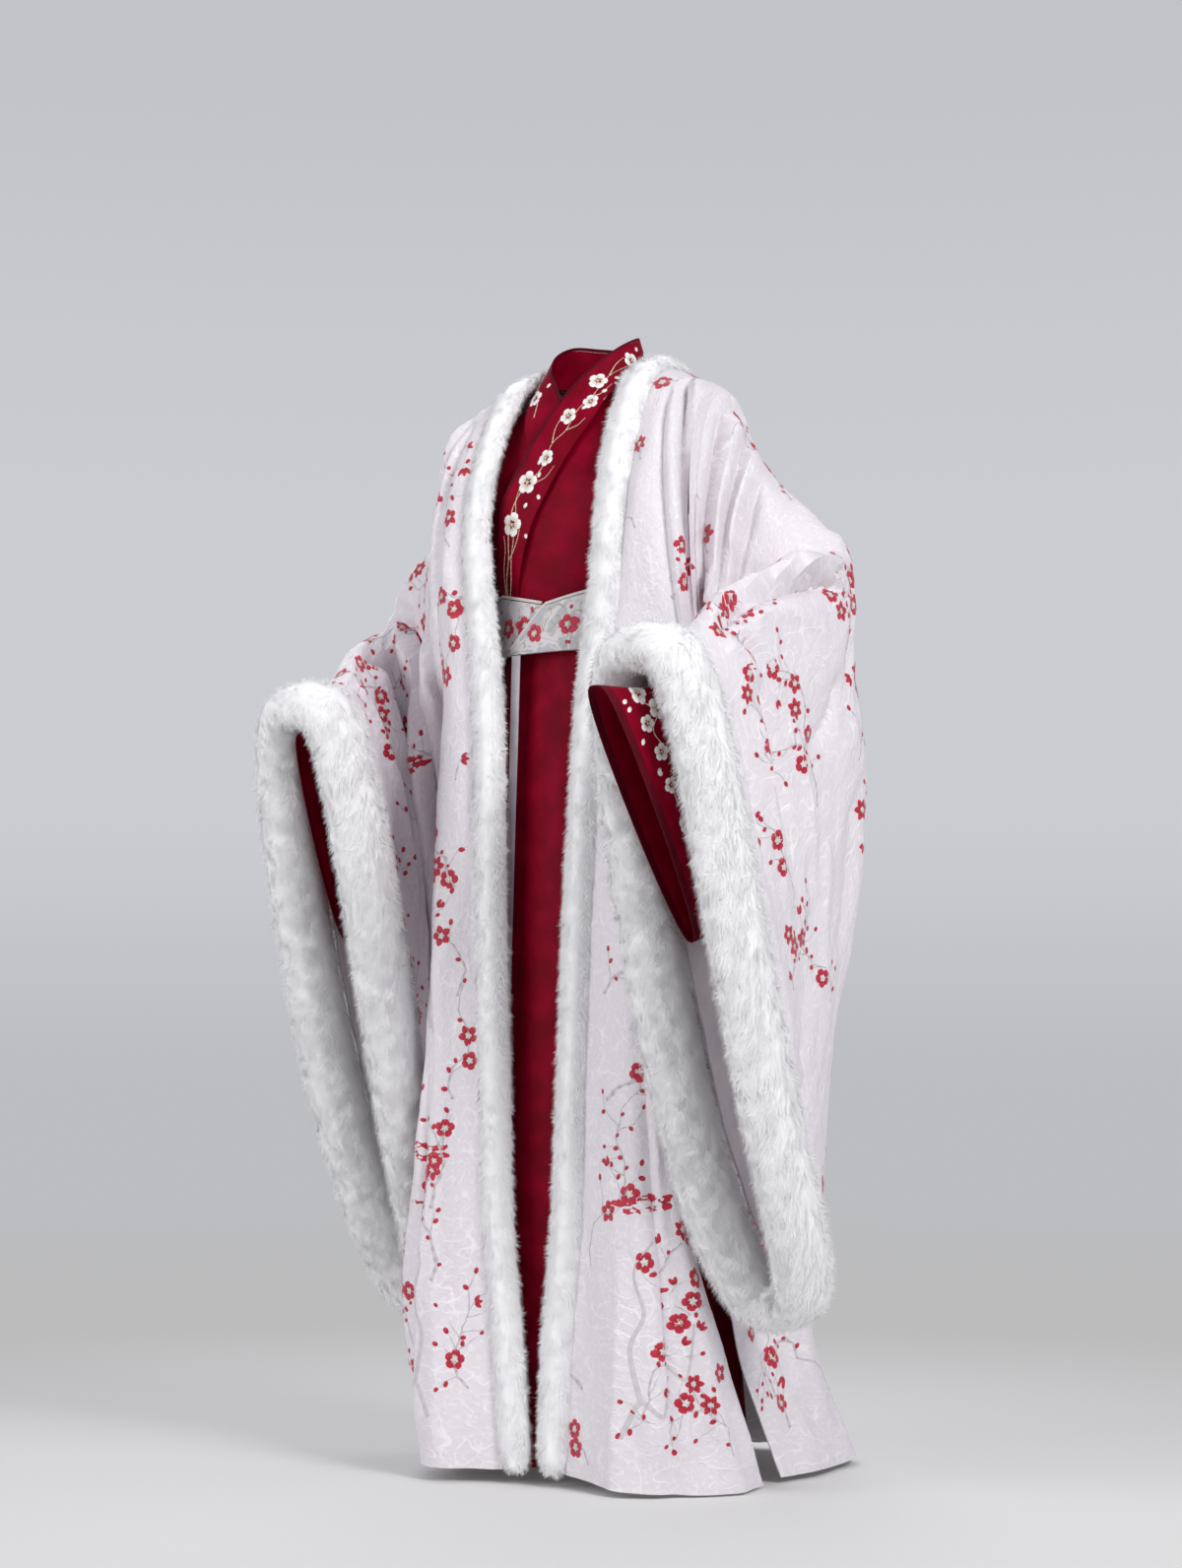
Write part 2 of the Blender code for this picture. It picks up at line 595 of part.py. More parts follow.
# The collar band from the centre back of the neck (0) round its side and across the chest to
# the waist (1): its upper edge and its lower edge.
COLLAR = [
    # t,   upper x, y,      z,      lower x, y,      z
    (0.00, 0.000, 0.074, 0.100, 0.000, 0.094, 0.040),
    (0.10, 0.032, 0.066, 0.105, 0.046, 0.080, 0.042),
    (0.20, 0.054, 0.036, 0.104, 0.068, 0.044, 0.046),
    (0.30, 0.053, -0.008, 0.084, 0.074, -0.008, 0.040),
    (0.40, 0.038, -0.042, 0.056, 0.070, -0.054, 0.010),
    (0.50, 0.014, -0.064, 0.024, 0.060, -0.082, -0.030),
    (0.62, -0.016, -0.082, -0.020, 0.038, -0.099, -0.070),
    (0.75, -0.048, -0.096, -0.078, 0.008, -0.108, -0.120),
    (0.88, -0.080, -0.102, -0.140, -0.024, -0.111, -0.178),
    (1.00, -0.095, -0.091, -0.205, -0.046, -0.104, -0.236),
]
UNDER_LAP = 0.0110
UNDER_LAP_PAST_MIDDLE = 0.0090
COLLAR_EDGE = 0.14
COLLAR_EDGE_GAP = 0.003
COLLAR_OUT = 0.0032


def under_lap(points, side):
    """The wearer's right front lies under the left: it sits further in below the neck."""
    if side < 0:
        below_neck = np.clip((0.05 - points[..., 2]) / 0.10, 0, 1)
        in_front = np.clip((0.02 - points[..., 1]) / 0.05, 0, 1)
        past_middle = np.clip((0.04 - points[..., 0]) / 0.10, 0, 1)
        inward = below_neck * in_front * (UNDER_LAP + UNDER_LAP_PAST_MIDDLE * past_middle)
        points = points + inward[..., None] * np.array([0.0, 1.0, 0.0])
    return points


def collar_band(side, t, across):
    """Band from its upper edge (0) to its lower edge (1), a little rounded over the chest."""
    row = through(COLLAR, t)
    upper, lower = row[:, None, 0:3], row[:, None, 3:6]
    return under_lap(upper + (lower - upper) * across[None, :, None], side)


def collar(side):
    """Collar band of one side, with a dark red bound upper edge."""

    def hold(sides):
        sides[..., 0, :, 0] = SEAM / 2
        sides[..., 0] *= side

    t = np.linspace(0, 1, 13)
    band = collar_band(side, t, np.linspace(COLLAR_EDGE + COLLAR_EDGE_GAP, 1, 3))
    wall(named("collar", side), band, COLLAR_CLOTH, "crimson_satin", hold=hold)
    edge = collar_band(side, t, np.linspace(0, COLLAR_EDGE - COLLAR_EDGE_GAP, 2))
    wall(named("collar_edge", side), edge, COLLAR_CLOTH, "dark_red_edge", hold=hold)


# Each half of the inner robe from the waist in front (0) over the shoulder (0.5) to the waist
# behind (1): its inner edge under the collar, its lean and its outer edge.
INNER_HALF = [
    # t,   inner x, y,     z,      lean x, y,      z,      outer x, y,      z
    (0.00, -0.062, -0.086, -0.302, 0.092, -0.108, -0.305, 0.116, 0.000, -0.302),
    (0.08, -0.064, -0.096, -0.240, 0.108, -0.118, -0.258, 0.138, -0.002, -0.248),
    (0.16, -0.046, -0.102, -0.170, 0.120, -0.122, -0.195, 0.172, -0.002, -0.205),
    (0.24, -0.014, -0.101, -0.115, 0.130, -0.112, -0.140, 0.172, -0.044, -0.155),
    (0.32, 0.016, -0.092, -0.062, 0.126, -0.092, -0.090, 0.172, -0.052, -0.110),
    (0.40, 0.044, -0.068, -0.008, 0.120, -0.064, -0.042, 0.172, -0.044, -0.058),
    (0.46, 0.062, -0.034, 0.022, 0.116, -0.032, -0.002, 0.172, -0.022, -0.024),
    (0.50, 0.066, 0.000, 0.034, 0.116, 0.000, 0.006, 0.172, 0.000, -0.016),
    (0.56, 0.062, 0.046, 0.034, 0.120, 0.045, 0.000, 0.172, 0.030, -0.034),
    (0.64, 0.032, 0.084, 0.030, 0.120, 0.085, -0.030, 0.172, 0.048, -0.080),
    (0.70, 0.000, 0.094, 0.012, 0.110, 0.108, -0.070, 0.172, 0.052, -0.118),
    (0.80, 0.000, 0.102, -0.100, 0.110, 0.122, -0.150, 0.172, 0.036, -0.175),
    (0.88, 0.000, 0.102, -0.190, 0.105, 0.118, -0.215, 0.164, 0.002, -0.212),
    (1.00, 0.000, 0.090, -0.302, 0.092, 0.108, -0.305, 0.116, 0.001, -0.302),
]


def inner_body(side):
    """Front and back of one side of the inner robe in one length, folded over the shoulder."""
    t = np.linspace(0, 1, 18)
    row = through(INNER_HALF, t)
    u = np.linspace(0, 1, 6)
    points = rows_of_cloth(row[:, 0:3], row[:, 3:6], row[:, 6:9], u)
    points = under_lap(points, side)
    points -= grid_normals_outward(points) * COLLAR_OUT
    at_armhole = (t > 0.15) & (t < 0.87)
    on_seam = t > 0.69
    front = t < 0.15
    back = t > 0.86

    def hold(sides):
        outer_edge = sides[:, -1]
        outer_edge[:, at_armhole, 0] = INNER_ARMHOLE_X - SEAM / 2
        outer_edge[:, front, 1] = np.minimum(outer_edge[:, front, 1], -SEAM)
        outer_edge[:, back, 1] = np.maximum(outer_edge[:, back, 1], SEAM)
        sides[:, 0, on_seam, 0] = SEAM / 2
        sides[..., 2] = np.maximum(sides[..., 2], WAIST + SEAM)
        sides[..., 0] *= side

    return wall(named("inner_body", side), points, INNER_CLOTH, "crimson_satin", hold=hold)


def grid_normals_outward(points):
    """Normals turned away from the middle of the body."""
    normal = grid_normals(points)
    away = points - np.array([0.0, 0.0, -0.15])
    return normal * np.sign(np.sum(normal * away))


# Skirt of the inner robe: half width and the depth of its front and back at each height.
SKIRT = [
    # down, half width, front, back,  z
    (0.00, 0.108, 0.082, 0.086, WAIST),
    (0.08, 0.130, 0.090, 0.106, -0.390),
    (0.20, 0.144, 0.096, 0.122, -0.520),
    (0.45, 0.156, 0.102, 0.136, -0.800),
    (0.75, 0.166, 0.104, 0.150, -1.140),
    (1.00, 0.180, 0.102, 0.172, -1.440),
]
SKIRT_FOLDS = 8
SKIRT_FOLD_SHARE = 0.030
SKIRT_SQUARE = 0.82


def skirt_surface(down, turn):
    """Rings of the skirt: turn runs round from the front; soft folds deepen towards the hem."""
    row = through(SKIRT, down)[None]
    half_width, front, back, z = (row[..., i] for i in range(4))
    angle = turn[:, None]
    depth = np.where(np.cos(angle) > 0, front, back)
    fold = 1 + np.cos(SKIRT_FOLDS * angle) * SKIRT_FOLD_SHARE * down[None]
    x = half_width * np.sign(np.sin(angle)) * np.abs(np.sin(angle)) ** SKIRT_SQUARE
    y = -depth * np.sign(np.cos(angle)) * np.abs(np.cos(angle)) ** SKIRT_SQUARE
    return np.stack([x * fold, y * fold, np.broadcast_to(z, x.shape)], axis=-1)


def skirt(name, middle_angle):
    """Half of the skirt, from side seam to side seam."""
    down = np.linspace(0, 1, 5)
    turn = middle_angle + np.linspace(-np.pi / 2, np.pi / 2, 19)
    points = skirt_surface(down, turn)
    facing = -1 if middle_angle == 0 else 1

    def hold(sides):
        for end in (0, -1):
            sides[:, end, :, 1] = facing * SEAM / 2
        sides[..., 2] = np.minimum(sides[..., 2], WAIST - SEAM)

    return wall(name, points, INNER_CLOTH, "crimson_satin", hold=hold)


# Belt: half width and depths of the ring it lies on.
BELT_HALF_WIDTH = 0.140
BELT_FRONT = 0.1015
BELT_BACK = 0.110
BELT_LAP = 0.0050
BELT_SQUARE = 0.9


def belt_ring(turn, lap, z):
    """Points of the belt's ring at a turn from the front, on its over or under layer."""
    depth = np.where(np.cos(turn) > 0, BELT_FRONT + lap, BELT_BACK)
    x = (BELT_HALF_WIDTH + lap) * np.sign(np.sin(turn)) * np.abs(np.sin(turn)) ** BELT_SQUARE
    y = -depth * np.sign(np.cos(turn)) * np.abs(np.cos(turn)) ** BELT_SQUARE
    return np.stack([x, y, z], axis=-1)


def belt_wing(side):
    """Half of the belt from the centre back to its pointed end, which crosses the other in front."""
    tip = math.asin(abs(BELT_TIP_X) / BELT_HALF_WIDTH)
    turn = np.concatenate([np.linspace(np.pi, 0.25, 13), np.linspace(0.25, -tip, 7)[1:]])
    ring = belt_ring(turn, 0.0, np.zeros_like(turn))
    over = side > 0
    lap = BELT_LAP * over * np.clip((1.2 - np.abs(turn)) / 0.8, 0, 1)
    slope = np.clip(-ring[:, 0] / abs(BELT_TIP_X), 0, 1)
    rise = np.clip((ring[:, 0]) / 0.09, 0, 1)
    top = BELT_NOTCH + (BELT_TOP - BELT_NOTCH) * np.where(turn > 1.2, 1.0, rise)
    top = top + (BELT_BOTTOM + 0.006 - BELT_NOTCH) * slope
    bottom = np.full_like(top, BELT_BOTTOM)
    up = np.linspace(0, 1, 2)
    z = bottom[:, None] + (top - bottom)[:, None] * up[None]
    points = belt_ring(turn[:, None] + 0 * z, lap[:, None] + 0 * z, z)

    def hold(sides):
        sides[:, 0, :, 0] = SEAM / 2
        sides[..., 0] *= side

    wall(named("belt", side), points, BELT_CLOTH, "belt_brocade", hold=hold)
    keep = slice(None) if over else turn > 0.06
    path = points[keep, -1] + np.array([0, 0, TRIM_RADIUS * 1.3 + SEAM])
    along = np.broadcast_to(np.array([0.0, 0.0, 1.0]), path.shape)

    def hold_trim(trim):
        trim[0, :, 0] = SEAM / 2
        trim[..., 0] *= side

    bar(named("belt_trim", side), path, along, TRIM_RADIUS, TRIM_RADIUS, "belt_cord", sides=4, hold=hold_trim)


RIBBON = [
    # t,   x,      y,      z,      turned
    (0.00, -0.040, -0.1100, -0.350, 0),
    (0.20, -0.042, -0.1125, -0.480, 10),
    (0.45, -0.040, -0.1130, -0.650, 25),
    (0.75, -0.037, -0.1135, -0.860, 30),
    (1.00, -0.036, -0.1135, -1.035, 20),
]
RIBBON_WIDTH = 0.020


def ribbon():
    """Narrow silver tie hanging from under the belt, over the skirt."""
    t = np.linspace(0, 1, 7)
    row = through(RIBBON, t)
    angle = np.radians(row[:, 3])
    across = np.stack([np.cos(angle), -np.sin(angle) * 0.35, 0 * angle], axis=-1)
    half = np.linspace(-0.5, 0.5, 2) * RIBBON_WIDTH
    points = row[None, :, 0:3] + across[None] * half[:, None, None]
    wall("ribbon", points, RIBBON_CLOTH, "silver_ribbon")


def main():
    for old in list(bpy.data.objects):
        bpy.data.objects.remove(old)
    for side in (1, -1):
        outer_body(side)
        fur_front(side)
        outer_sleeve(side)
        sleeve_lining(side)
        cuff_fur(side)
        inner_body(side)
        inner_sleeve(side)
        collar(side)
        belt_wing(side)
    skirt("skirt_front", 0.0)
    skirt("skirt_back", math.pi)
    ribbon()


main()
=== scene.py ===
"""A plum-blossom robe edged with white fur, worn open over a crimson cross-collar robe and belt.

Metres, +Z up, +X is the wearer's left and -Y the front.  The origin is the middle of the neck at
shoulder height and the ground is at FLOOR.  Both sides are shaped as the wearer's left and
mirrored, each from its own sizes.
"""
import math

import bpy
import numpy as np
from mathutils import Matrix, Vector


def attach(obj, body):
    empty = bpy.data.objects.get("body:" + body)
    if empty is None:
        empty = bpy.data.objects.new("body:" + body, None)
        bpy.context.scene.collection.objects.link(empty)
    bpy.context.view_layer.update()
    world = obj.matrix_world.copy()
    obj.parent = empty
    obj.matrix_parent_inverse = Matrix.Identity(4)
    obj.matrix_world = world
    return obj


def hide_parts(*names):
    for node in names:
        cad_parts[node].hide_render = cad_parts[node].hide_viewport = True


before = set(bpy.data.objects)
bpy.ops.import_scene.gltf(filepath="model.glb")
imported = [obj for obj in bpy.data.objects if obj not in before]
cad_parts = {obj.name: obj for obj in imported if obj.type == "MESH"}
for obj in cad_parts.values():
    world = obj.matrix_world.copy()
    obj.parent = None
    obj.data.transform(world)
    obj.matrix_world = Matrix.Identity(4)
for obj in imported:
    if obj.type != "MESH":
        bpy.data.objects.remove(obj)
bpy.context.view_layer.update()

# ---------------------------------------------------------------------------------------------
# Crimson skirt
# The lower part of the inner robe: a front and a back length of crimson silk satin, seamed at the
# sides and gathered a little into the belt, so that soft folds open out towards the hem.
WAIST = -0.305
SEAM = 0.0003
INNER_CLOTH = 0.0014
SKIRT = [
    # down, half width, front, back,  z
    (0.00, 0.108, 0.082, 0.086, WAIST),
    (0.08, 0.130, 0.090, 0.106, -0.390),
    (0.20, 0.144, 0.096, 0.122, -0.520),
    (0.45, 0.156, 0.102, 0.136, -0.800),
    (0.75, 0.178, 0.104, 0.150, -1.140),
    (1.00, 0.206, 0.102, 0.172, -1.440),
]
SKIRT_SQUARE = 0.82
# Soft folds of the skirt: where each is round it, in degrees from the front, where it starts and
# ends on the way down, how far it stands out and how wide it is.
SKIRT_FOLDS = [
    # turn, from, to,   out,     width
    (-34, 0.00, 1.10, 0.0050, 9),
    (-17, 0.05, 0.70, -0.0045, 6),
    (-8, 0.30, 1.60, 0.0050, 7),
    (2, 0.00, 0.55, 0.0035, 5),
    (7, 0.45, 1.70, -0.0060, 6),
    (19, 0.02, 1.50, 0.0060, 8),
    (33, 0.10, 1.40, -0.0060, 8),
    (48, 0.00, 1.60, 0.0060, 9),
    (66, 0.15, 1.50, -0.0060, 9),
    (84, 0.00, 1.40, 0.0050, 9),
    (104, 0.05, 1.60, -0.0070, 8),
    (121, 0.00, 1.50, 0.0080, 9),
    (139, 0.10, 1.60, -0.0080, 8),
    (155, 0.00, 1.60, 0.0090, 8),
    (171, 0.00, 1.50, -0.0080, 7),
    (186, 0.05, 1.60, 0.0090, 8),
    (203, 0.00, 1.60, -0.0080, 8),
    (222, 0.05, 1.50, 0.0080, 9),
    (243, 0.00, 1.60, -0.0060, 9),
    (264, 0.10, 1.50, 0.0050, 9),
    (283, 0.00, 1.50, -0.0060, 9),
    (306, 0.00, 1.60, 0.0060, 9),
]


def through(table, t):
    """Smooth curve through a table's rows: cubic steps whose slopes are those between neighbours."""
    table = np.array(table, float)
    knots, values = table[:, 0], table[:, 1:]
    slopes = np.gradient(values, knots, axis=0)
    t = np.asarray(t, float)
    i = np.clip(np.searchsorted(knots, t, side="right") - 1, 0, len(knots) - 2)
    span = (knots[i + 1] - knots[i])[..., None]
    f = (t - knots[i])[..., None] / span
    rise = values[i + 1] - values[i]
    return (
        values[i]
        + rise * f * f * (3 - 2 * f)
        + span * slopes[i] * f * (1 - f) ** 2
        - span * slopes[i + 1] * f * f * (1 - f)
    )


def unit(vectors):
    """Each vector divided by its length."""
    return vectors / np.maximum(np.linalg.norm(vectors, axis=-1, keepdims=True), 1e-12)


def ease(x):
    """Smooth step from 0 to 1: three x squared less two x cubed."""
    x = np.clip(x, 0, 1)
    return x * x * (3 - 2 * x)


def outward(points, around, middle):
    """Normals of a grid, the cross product of its two steps, turned away from its middle."""
    if around:
        across = np.roll(points, -1, axis=0) - np.roll(points, 1, axis=0)
    else:
        across = np.gradient(points, axis=0)
    normal = unit(np.cross(across, np.gradient(points, axis=1)))
    return normal * np.sign(np.sum(normal * (points - middle)))


def ripples(points, seed, short, long, stretch=(1, 1, 1), count=28):
    """Seeded waviness of about one: plane waves of many lengths and directions, added."""
    rng = np.random.default_rng(seed)
    way = unit(rng.normal(size=(count, 3))) * np.array(stretch)
    length = np.exp(rng.uniform(math.log(short), math.log(long), count))
    phase = rng.uniform(0, 2 * np.pi, count)
    return np.sin(points @ (2 * np.pi * way / length[:, None]).T + phase).sum(-1) / math.sqrt(count)


def cloth_mesh(name, sides, around):
    """Closed sheet between two grids, with its lengths across and along as UV in metres."""
    n, m = sides.shape[1:3]
    rows = n if around else n - 1
    loop = np.concatenate([sides[0], sides[0][:1]]) if around else sides[0]
    across = np.linalg.norm(np.diff(loop, axis=0), axis=-1).mean(axis=1)
    along = np.linalg.norm(np.diff(sides[0], axis=1), axis=-1).mean(axis=0)
    across, along = np.append(0, np.cumsum(across)), np.append(0, np.cumsum(along))
    i, k = (a.ravel() for a in np.meshgrid(np.arange(rows), np.arange(m - 1), indexing="ij"))
    r, e = np.arange(rows), np.arange(m - 1)
    quads = [
        (0 * i, i, k, 0 * i, i + 1, k, 0 * i, i + 1, k + 1, 0 * i, i, k + 1),
        (0 * i + 1, i, k, 0 * i + 1, i, k + 1, 0 * i + 1, i + 1, k + 1, 0 * i + 1, i + 1, k),
        (0 * r, r, 0 * r, 0 * r + 1, r, 0 * r, 0 * r + 1, r + 1, 0 * r, 0 * r, r + 1, 0 * r),
        (0 * r, r, 0 * r + m - 1, 0 * r, r + 1, 0 * r + m - 1,
         0 * r + 1, r + 1, 0 * r + m - 1, 0 * r + 1, r, 0 * r + m - 1),
    ]
    if not around:
        z, f = 0 * e, 0 * e + n - 1
        quads += [
            (z, z, e, z, z, e + 1, z + 1, z, e + 1, z + 1, z, e),
            (z, f, e, z + 1, f, e, z + 1, f, e + 1, z, f, e + 1),
        ]
    corners = np.concatenate([np.stack(q, -1).reshape(-1, 4, 3) for q in quads])
    vertices = sides.reshape(-1, 3)
    index = corners[..., 0] * n * m + (corners[..., 1] % n) * m + corners[..., 2]
    uv = np.stack([across[corners[..., 1]], along[corners[..., 2]]], -1)
    a, b, c, d = (vertices[index[:, j]] for j in range(4))
    if np.sum(a * np.cross(b, c)) + np.sum(a * np.cross(c, d)) < 0:
        index, uv = index[:, ::-1], uv[:, ::-1]
    return solid_mesh(name, vertices, index, uv)


def solid_mesh(name, vertices, faces, uv=None):
    """Mesh from points and equal-sided faces, smooth but for edges sharper than 40 degrees."""
    mesh = bpy.data.meshes.new(name)
    mesh.vertices.add(len(vertices))
    mesh.vertices.foreach_set("co", np.ascontiguousarray(vertices, np.float32).ravel())
    mesh.loops.add(faces.size)
    mesh.loops.foreach_set("vertex_index", np.ascontiguousarray(faces, np.int32).ravel())
    mesh.polygons.add(len(faces))
    starts = np.arange(0, faces.size, faces.shape[1], dtype=np.int32)
    mesh.polygons.foreach_set("loop_start", starts)
    mesh.update(calc_edges=True)
    if uv is not None:
        layer = mesh.uv_layers.new(name="cloth")
        layer.uv.foreach_set("vector", np.ascontiguousarray(uv, np.float32).ravel())
    mesh.shade_smooth()
    mesh.set_sharp_from_angle(angle=math.radians(40))
    return mesh


def put_on(name, mesh, finish, nodes=()):
    """One piece of the dress, on the body, in the place of its plain solids."""
    piece = bpy.data.objects.new(name, mesh)
    bpy.context.scene.collection.objects.link(piece)
    for one in finish if isinstance(finish, (list, tuple)) else [finish]:
        mesh.materials.append(one)
    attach(piece, "root")
    if nodes:
        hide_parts(*nodes)
    return piece


def on_side(points, side):
    """Points shaped for the wearer's left, with x turned over for the right."""
    return points * np.array([side, 1.0, 1.0])


def sew(name, points, thick, finish, around=False, middle=(0, 0, 0), hold=None, side=1):
    """A cloth piece of one thickness on a grid, kept off its seams by hold, and its outer face."""
    shift = outward(points, around, np.array(middle, float)) * thick / 2
    sides = np.stack([points + shift, points - shift])
    if hold:
        hold(sides)
    piece = put_on(name, cloth_mesh(name, on_side(sides, side), around), finish, [name])
    return piece, sides[0]


def wire(tree, kind, sockets=None, **settings):
    """One node of a finish: its settings, then its sockets, each a value or another node's output."""
    made = tree.nodes.new(kind)
    for key, value in settings.items():
        setattr(made, key, value)
    for key, value in (sockets or {}).items():
        if isinstance(value, bpy.types.NodeSocket):
            tree.links.new(value, made.inputs[key])
        else:
            made.inputs[key].default_value = value
    return made


def new_finish(name, colour, roughness, sheen=0.0, shine=0.38):
    """A finish with its plain values on the shader, ready for its pattern."""
    made = bpy.data.materials.new(name)
    made.use_nodes = True
    shader = made.node_tree.nodes["Principled BSDF"]
    shader.inputs["Base Color"].default_value = (*colour, 1.0)
    shader.inputs["Roughness"].default_value = roughness
    shader.inputs["Sheen Weight"].default_value = sheen
    shader.inputs["Specular IOR Level"].default_value = shine
    return made, made.node_tree, shader


def crinkle(tree, place, scales, depth, before=None):
    """Bump of fine uneven creases: noise at each size, one on another."""
    normal = before
    for scale, share in scales:
        grain = wire(tree, "ShaderNodeTexNoise", {"Vector": place, "Scale": scale, "Detail": 3.0,
                                                  "Roughness": 0.6, "Distortion": 0.7})
        sockets = {"Height": grain.outputs["Fac"], "Strength": share, "Distance": depth}
        if normal:
            sockets["Normal"] = normal
        normal = wire(tree, "ShaderNodeBump", sockets).outputs["Normal"]
    return normal


def mixed(tree, share, first, second):
    """Colour between two, by a share."""
    made = wire(tree, "ShaderNodeMix", {"Factor": share}, data_type="RGBA")
    for socket, value in ((made.inputs[6], first), (made.inputs[7], second)):
        if isinstance(value, bpy.types.NodeSocket):
            tree.links.new(value, socket)
        else:
            socket.default_value = (*value, 1.0)
    return made.outputs[2]


def ranged(tree, value, low, high, to_low=0.0, to_high=1.0):
    """A value from one range carried to another, eased at both ends."""
    return wire(tree, "ShaderNodeMapRange", {"Value": value, "From Min": low, "From Max": high,
                                             "To Min": to_low, "To Max": to_high},
                interpolation_type="SMOOTHSTEP").outputs["Result"]


def silk_satin(name, colour, deep, roughness, sheen=0.0, shine=0.38):
    """Plain silk satin: its colour shifts a little from place to place, over a fine crinkle."""
    made, tree, shader = new_finish(name, colour, roughness, sheen, shine)
    place = wire(tree, "ShaderNodeUVMap", uv_map="cloth").outputs["UV"]
    cloud = wire(tree, "ShaderNodeTexNoise", {"Vector": place, "Scale": 24.0, "Detail": 4.0})
    share = ranged(tree, cloud.outputs["Fac"], 0.35, 0.70)
    tree.links.new(mixed(tree, share, deep, colour), shader.inputs["Base Color"])
    normal = crinkle(tree, place, [(95.0, 0.20), (420.0, 0.16)], 0.0012)
    tree.links.new(normal, shader.inputs["Normal"])
    return made


CRIMSON = silk_satin("crimson_silk", (0.265, 0.0001, 0.0180), (0.175, 0.0001, 0.0100), 0.52, shine=0.06)


def skirt_surface(down, turn):
    """Rings of the skirt: blunt ovals, each fold a bell-shaped swelling across its place."""
    row = through(SKIRT, down)[None]
    half_width, front, back, z = (row[..., i] for i in range(4))
    angle = turn[:, None]
    depth = np.where(np.cos(angle) > 0, front, back)
    x = half_width * np.sign(np.sin(angle)) * np.abs(np.sin(angle)) ** SKIRT_SQUARE
    y = -depth * np.sign(np.cos(angle)) * np.abs(np.cos(angle)) ** SKIRT_SQUARE
    out = np.zeros(np.broadcast(angle, row[..., 0]).shape)
    for place, start, end, height, width in SKIRT_FOLDS:
        off = (np.degrees(angle) - place + 180) % 360 - 180
        along = np.clip((down[None] - start) / (end - start), 0, 1)
        out = out + height * np.sin(np.pi * along) ** 1.3 * np.exp(-((off / width) ** 2))
    gathers = 0.0016 * np.sin(np.degrees(angle) * 0.9) * np.sin(np.degrees(angle) * 0.37 + 1.3)
    out = out + gathers * ease(down[None] / 0.03) * np.exp(-down[None] / 0.09)
    size = np.hypot(x, y)
    points = np.stack([x * (1 + out / size), y * (1 + out / size), np.broadcast_to(z, x.shape)], -1)
    points[..., 0] += 0.0016 * ripples(points, 5, 0.08, 0.30, (1, 1, 0.4))
    points[..., 1] += 0.0016 * ripples(points, 6, 0.08, 0.30, (1, 1, 0.4))
    return points


def skirt_half(name, middle_angle):
    """Half of the skirt, from side seam to side seam."""
    turn = middle_angle + np.linspace(-np.pi / 2, np.pi / 2, 90)
    points = skirt_surface(np.linspace(0, 1, 70), turn)
    facing = -1 if middle_angle == 0 else 1

    def hold(sides):
        for end in (0, -1):
            sides[:, end, :, 1] = facing * SEAM / 2
        sides[..., 2] = np.minimum(sides[..., 2], WAIST - SEAM)

    return sew(name, points, INNER_CLOTH, CRIMSON, middle=(0, 0, -0.8), hold=hold)[0]


skirt_front = skirt_half("skirt_front", 0.0)
skirt_back = skirt_half("skirt_back", math.pi)

# ---------------------------------------------------------------------------------------------
# Inner robe's body
# Each side is one length of the same crimson satin, front and back, folded over the shoulder
# and seamed at the side and the centre back; the left front laps over the right.
INNER_ARMHOLE_X = 0.172
UNDER_LAP = 0.0110
UNDER_LAP_PAST_MIDDLE = 0.0090
COLLAR_OUT = 0.0032
INNER_HALF = [
    # t,   inner x, y,     z,      lean x, y,      z,      outer x, y,      z
    (0.00, -0.062, -0.086, -0.302, 0.092, -0.108, -0.305, 0.116, 0.000, -0.302),
    (0.08, -0.064, -0.096, -0.240, 0.108, -0.118, -0.258, 0.138, -0.002, -0.248),
    (0.16, -0.046, -0.102, -0.170, 0.120, -0.122, -0.195, 0.172, -0.002, -0.205),
    (0.24, -0.014, -0.101, -0.115, 0.130, -0.112, -0.140, 0.172, -0.044, -0.155),
    (0.32, 0.016, -0.092, -0.062, 0.126, -0.092, -0.090, 0.172, -0.052, -0.110),
    (0.40, 0.044, -0.068, -0.008, 0.120, -0.064, -0.042, 0.172, -0.044, -0.058),
    (0.46, 0.062, -0.034, 0.022, 0.116, -0.032, -0.002, 0.172, -0.022, -0.024),
    (0.50, 0.066, 0.000, 0.034, 0.116, 0.000, 0.006, 0.172, 0.000, -0.016),
    (0.56, 0.062, 0.046, 0.034, 0.120, 0.045, 0.000, 0.172, 0.030, -0.034),
    (0.64, 0.032, 0.084, 0.030, 0.120, 0.085, -0.030, 0.172, 0.048, -0.080),
    (0.70, 0.000, 0.094, 0.012, 0.110, 0.108, -0.070, 0.172, 0.052, -0.118),
    (0.80, 0.000, 0.102, -0.100, 0.110, 0.122, -0.150, 0.172, 0.036, -0.175),
    (0.88, 0.000, 0.102, -0.190, 0.105, 0.118, -0.215, 0.164, 0.002, -0.212),
    (1.00, 0.000, 0.090, -0.302, 0.092, 0.108, -0.305, 0.116, 0.001, -0.302),
]


def named(stem, side):
    """A piece's name with the wearer's side."""
    return f"{stem}_left" if side > 0 else f"{stem}_right"


def under_lap(points, side):
    """Below the neck the wearer's right front sits further in, under the left."""
    if side > 0:
        return points
    below_neck = np.clip((0.05 - points[..., 2]) / 0.10, 0, 1)
    in_front = np.clip((0.02 - points[..., 1]) / 0.05, 0, 1)
    past_middle = np.clip((0.04 - points[..., 0]) / 0.10, 0, 1)
    inward = below_neck * in_front * (UNDER_LAP + UNDER_LAP_PAST_MIDDLE * past_middle)
    return points + inward[..., None] * np.array([0.0, 1.0, 0.0])


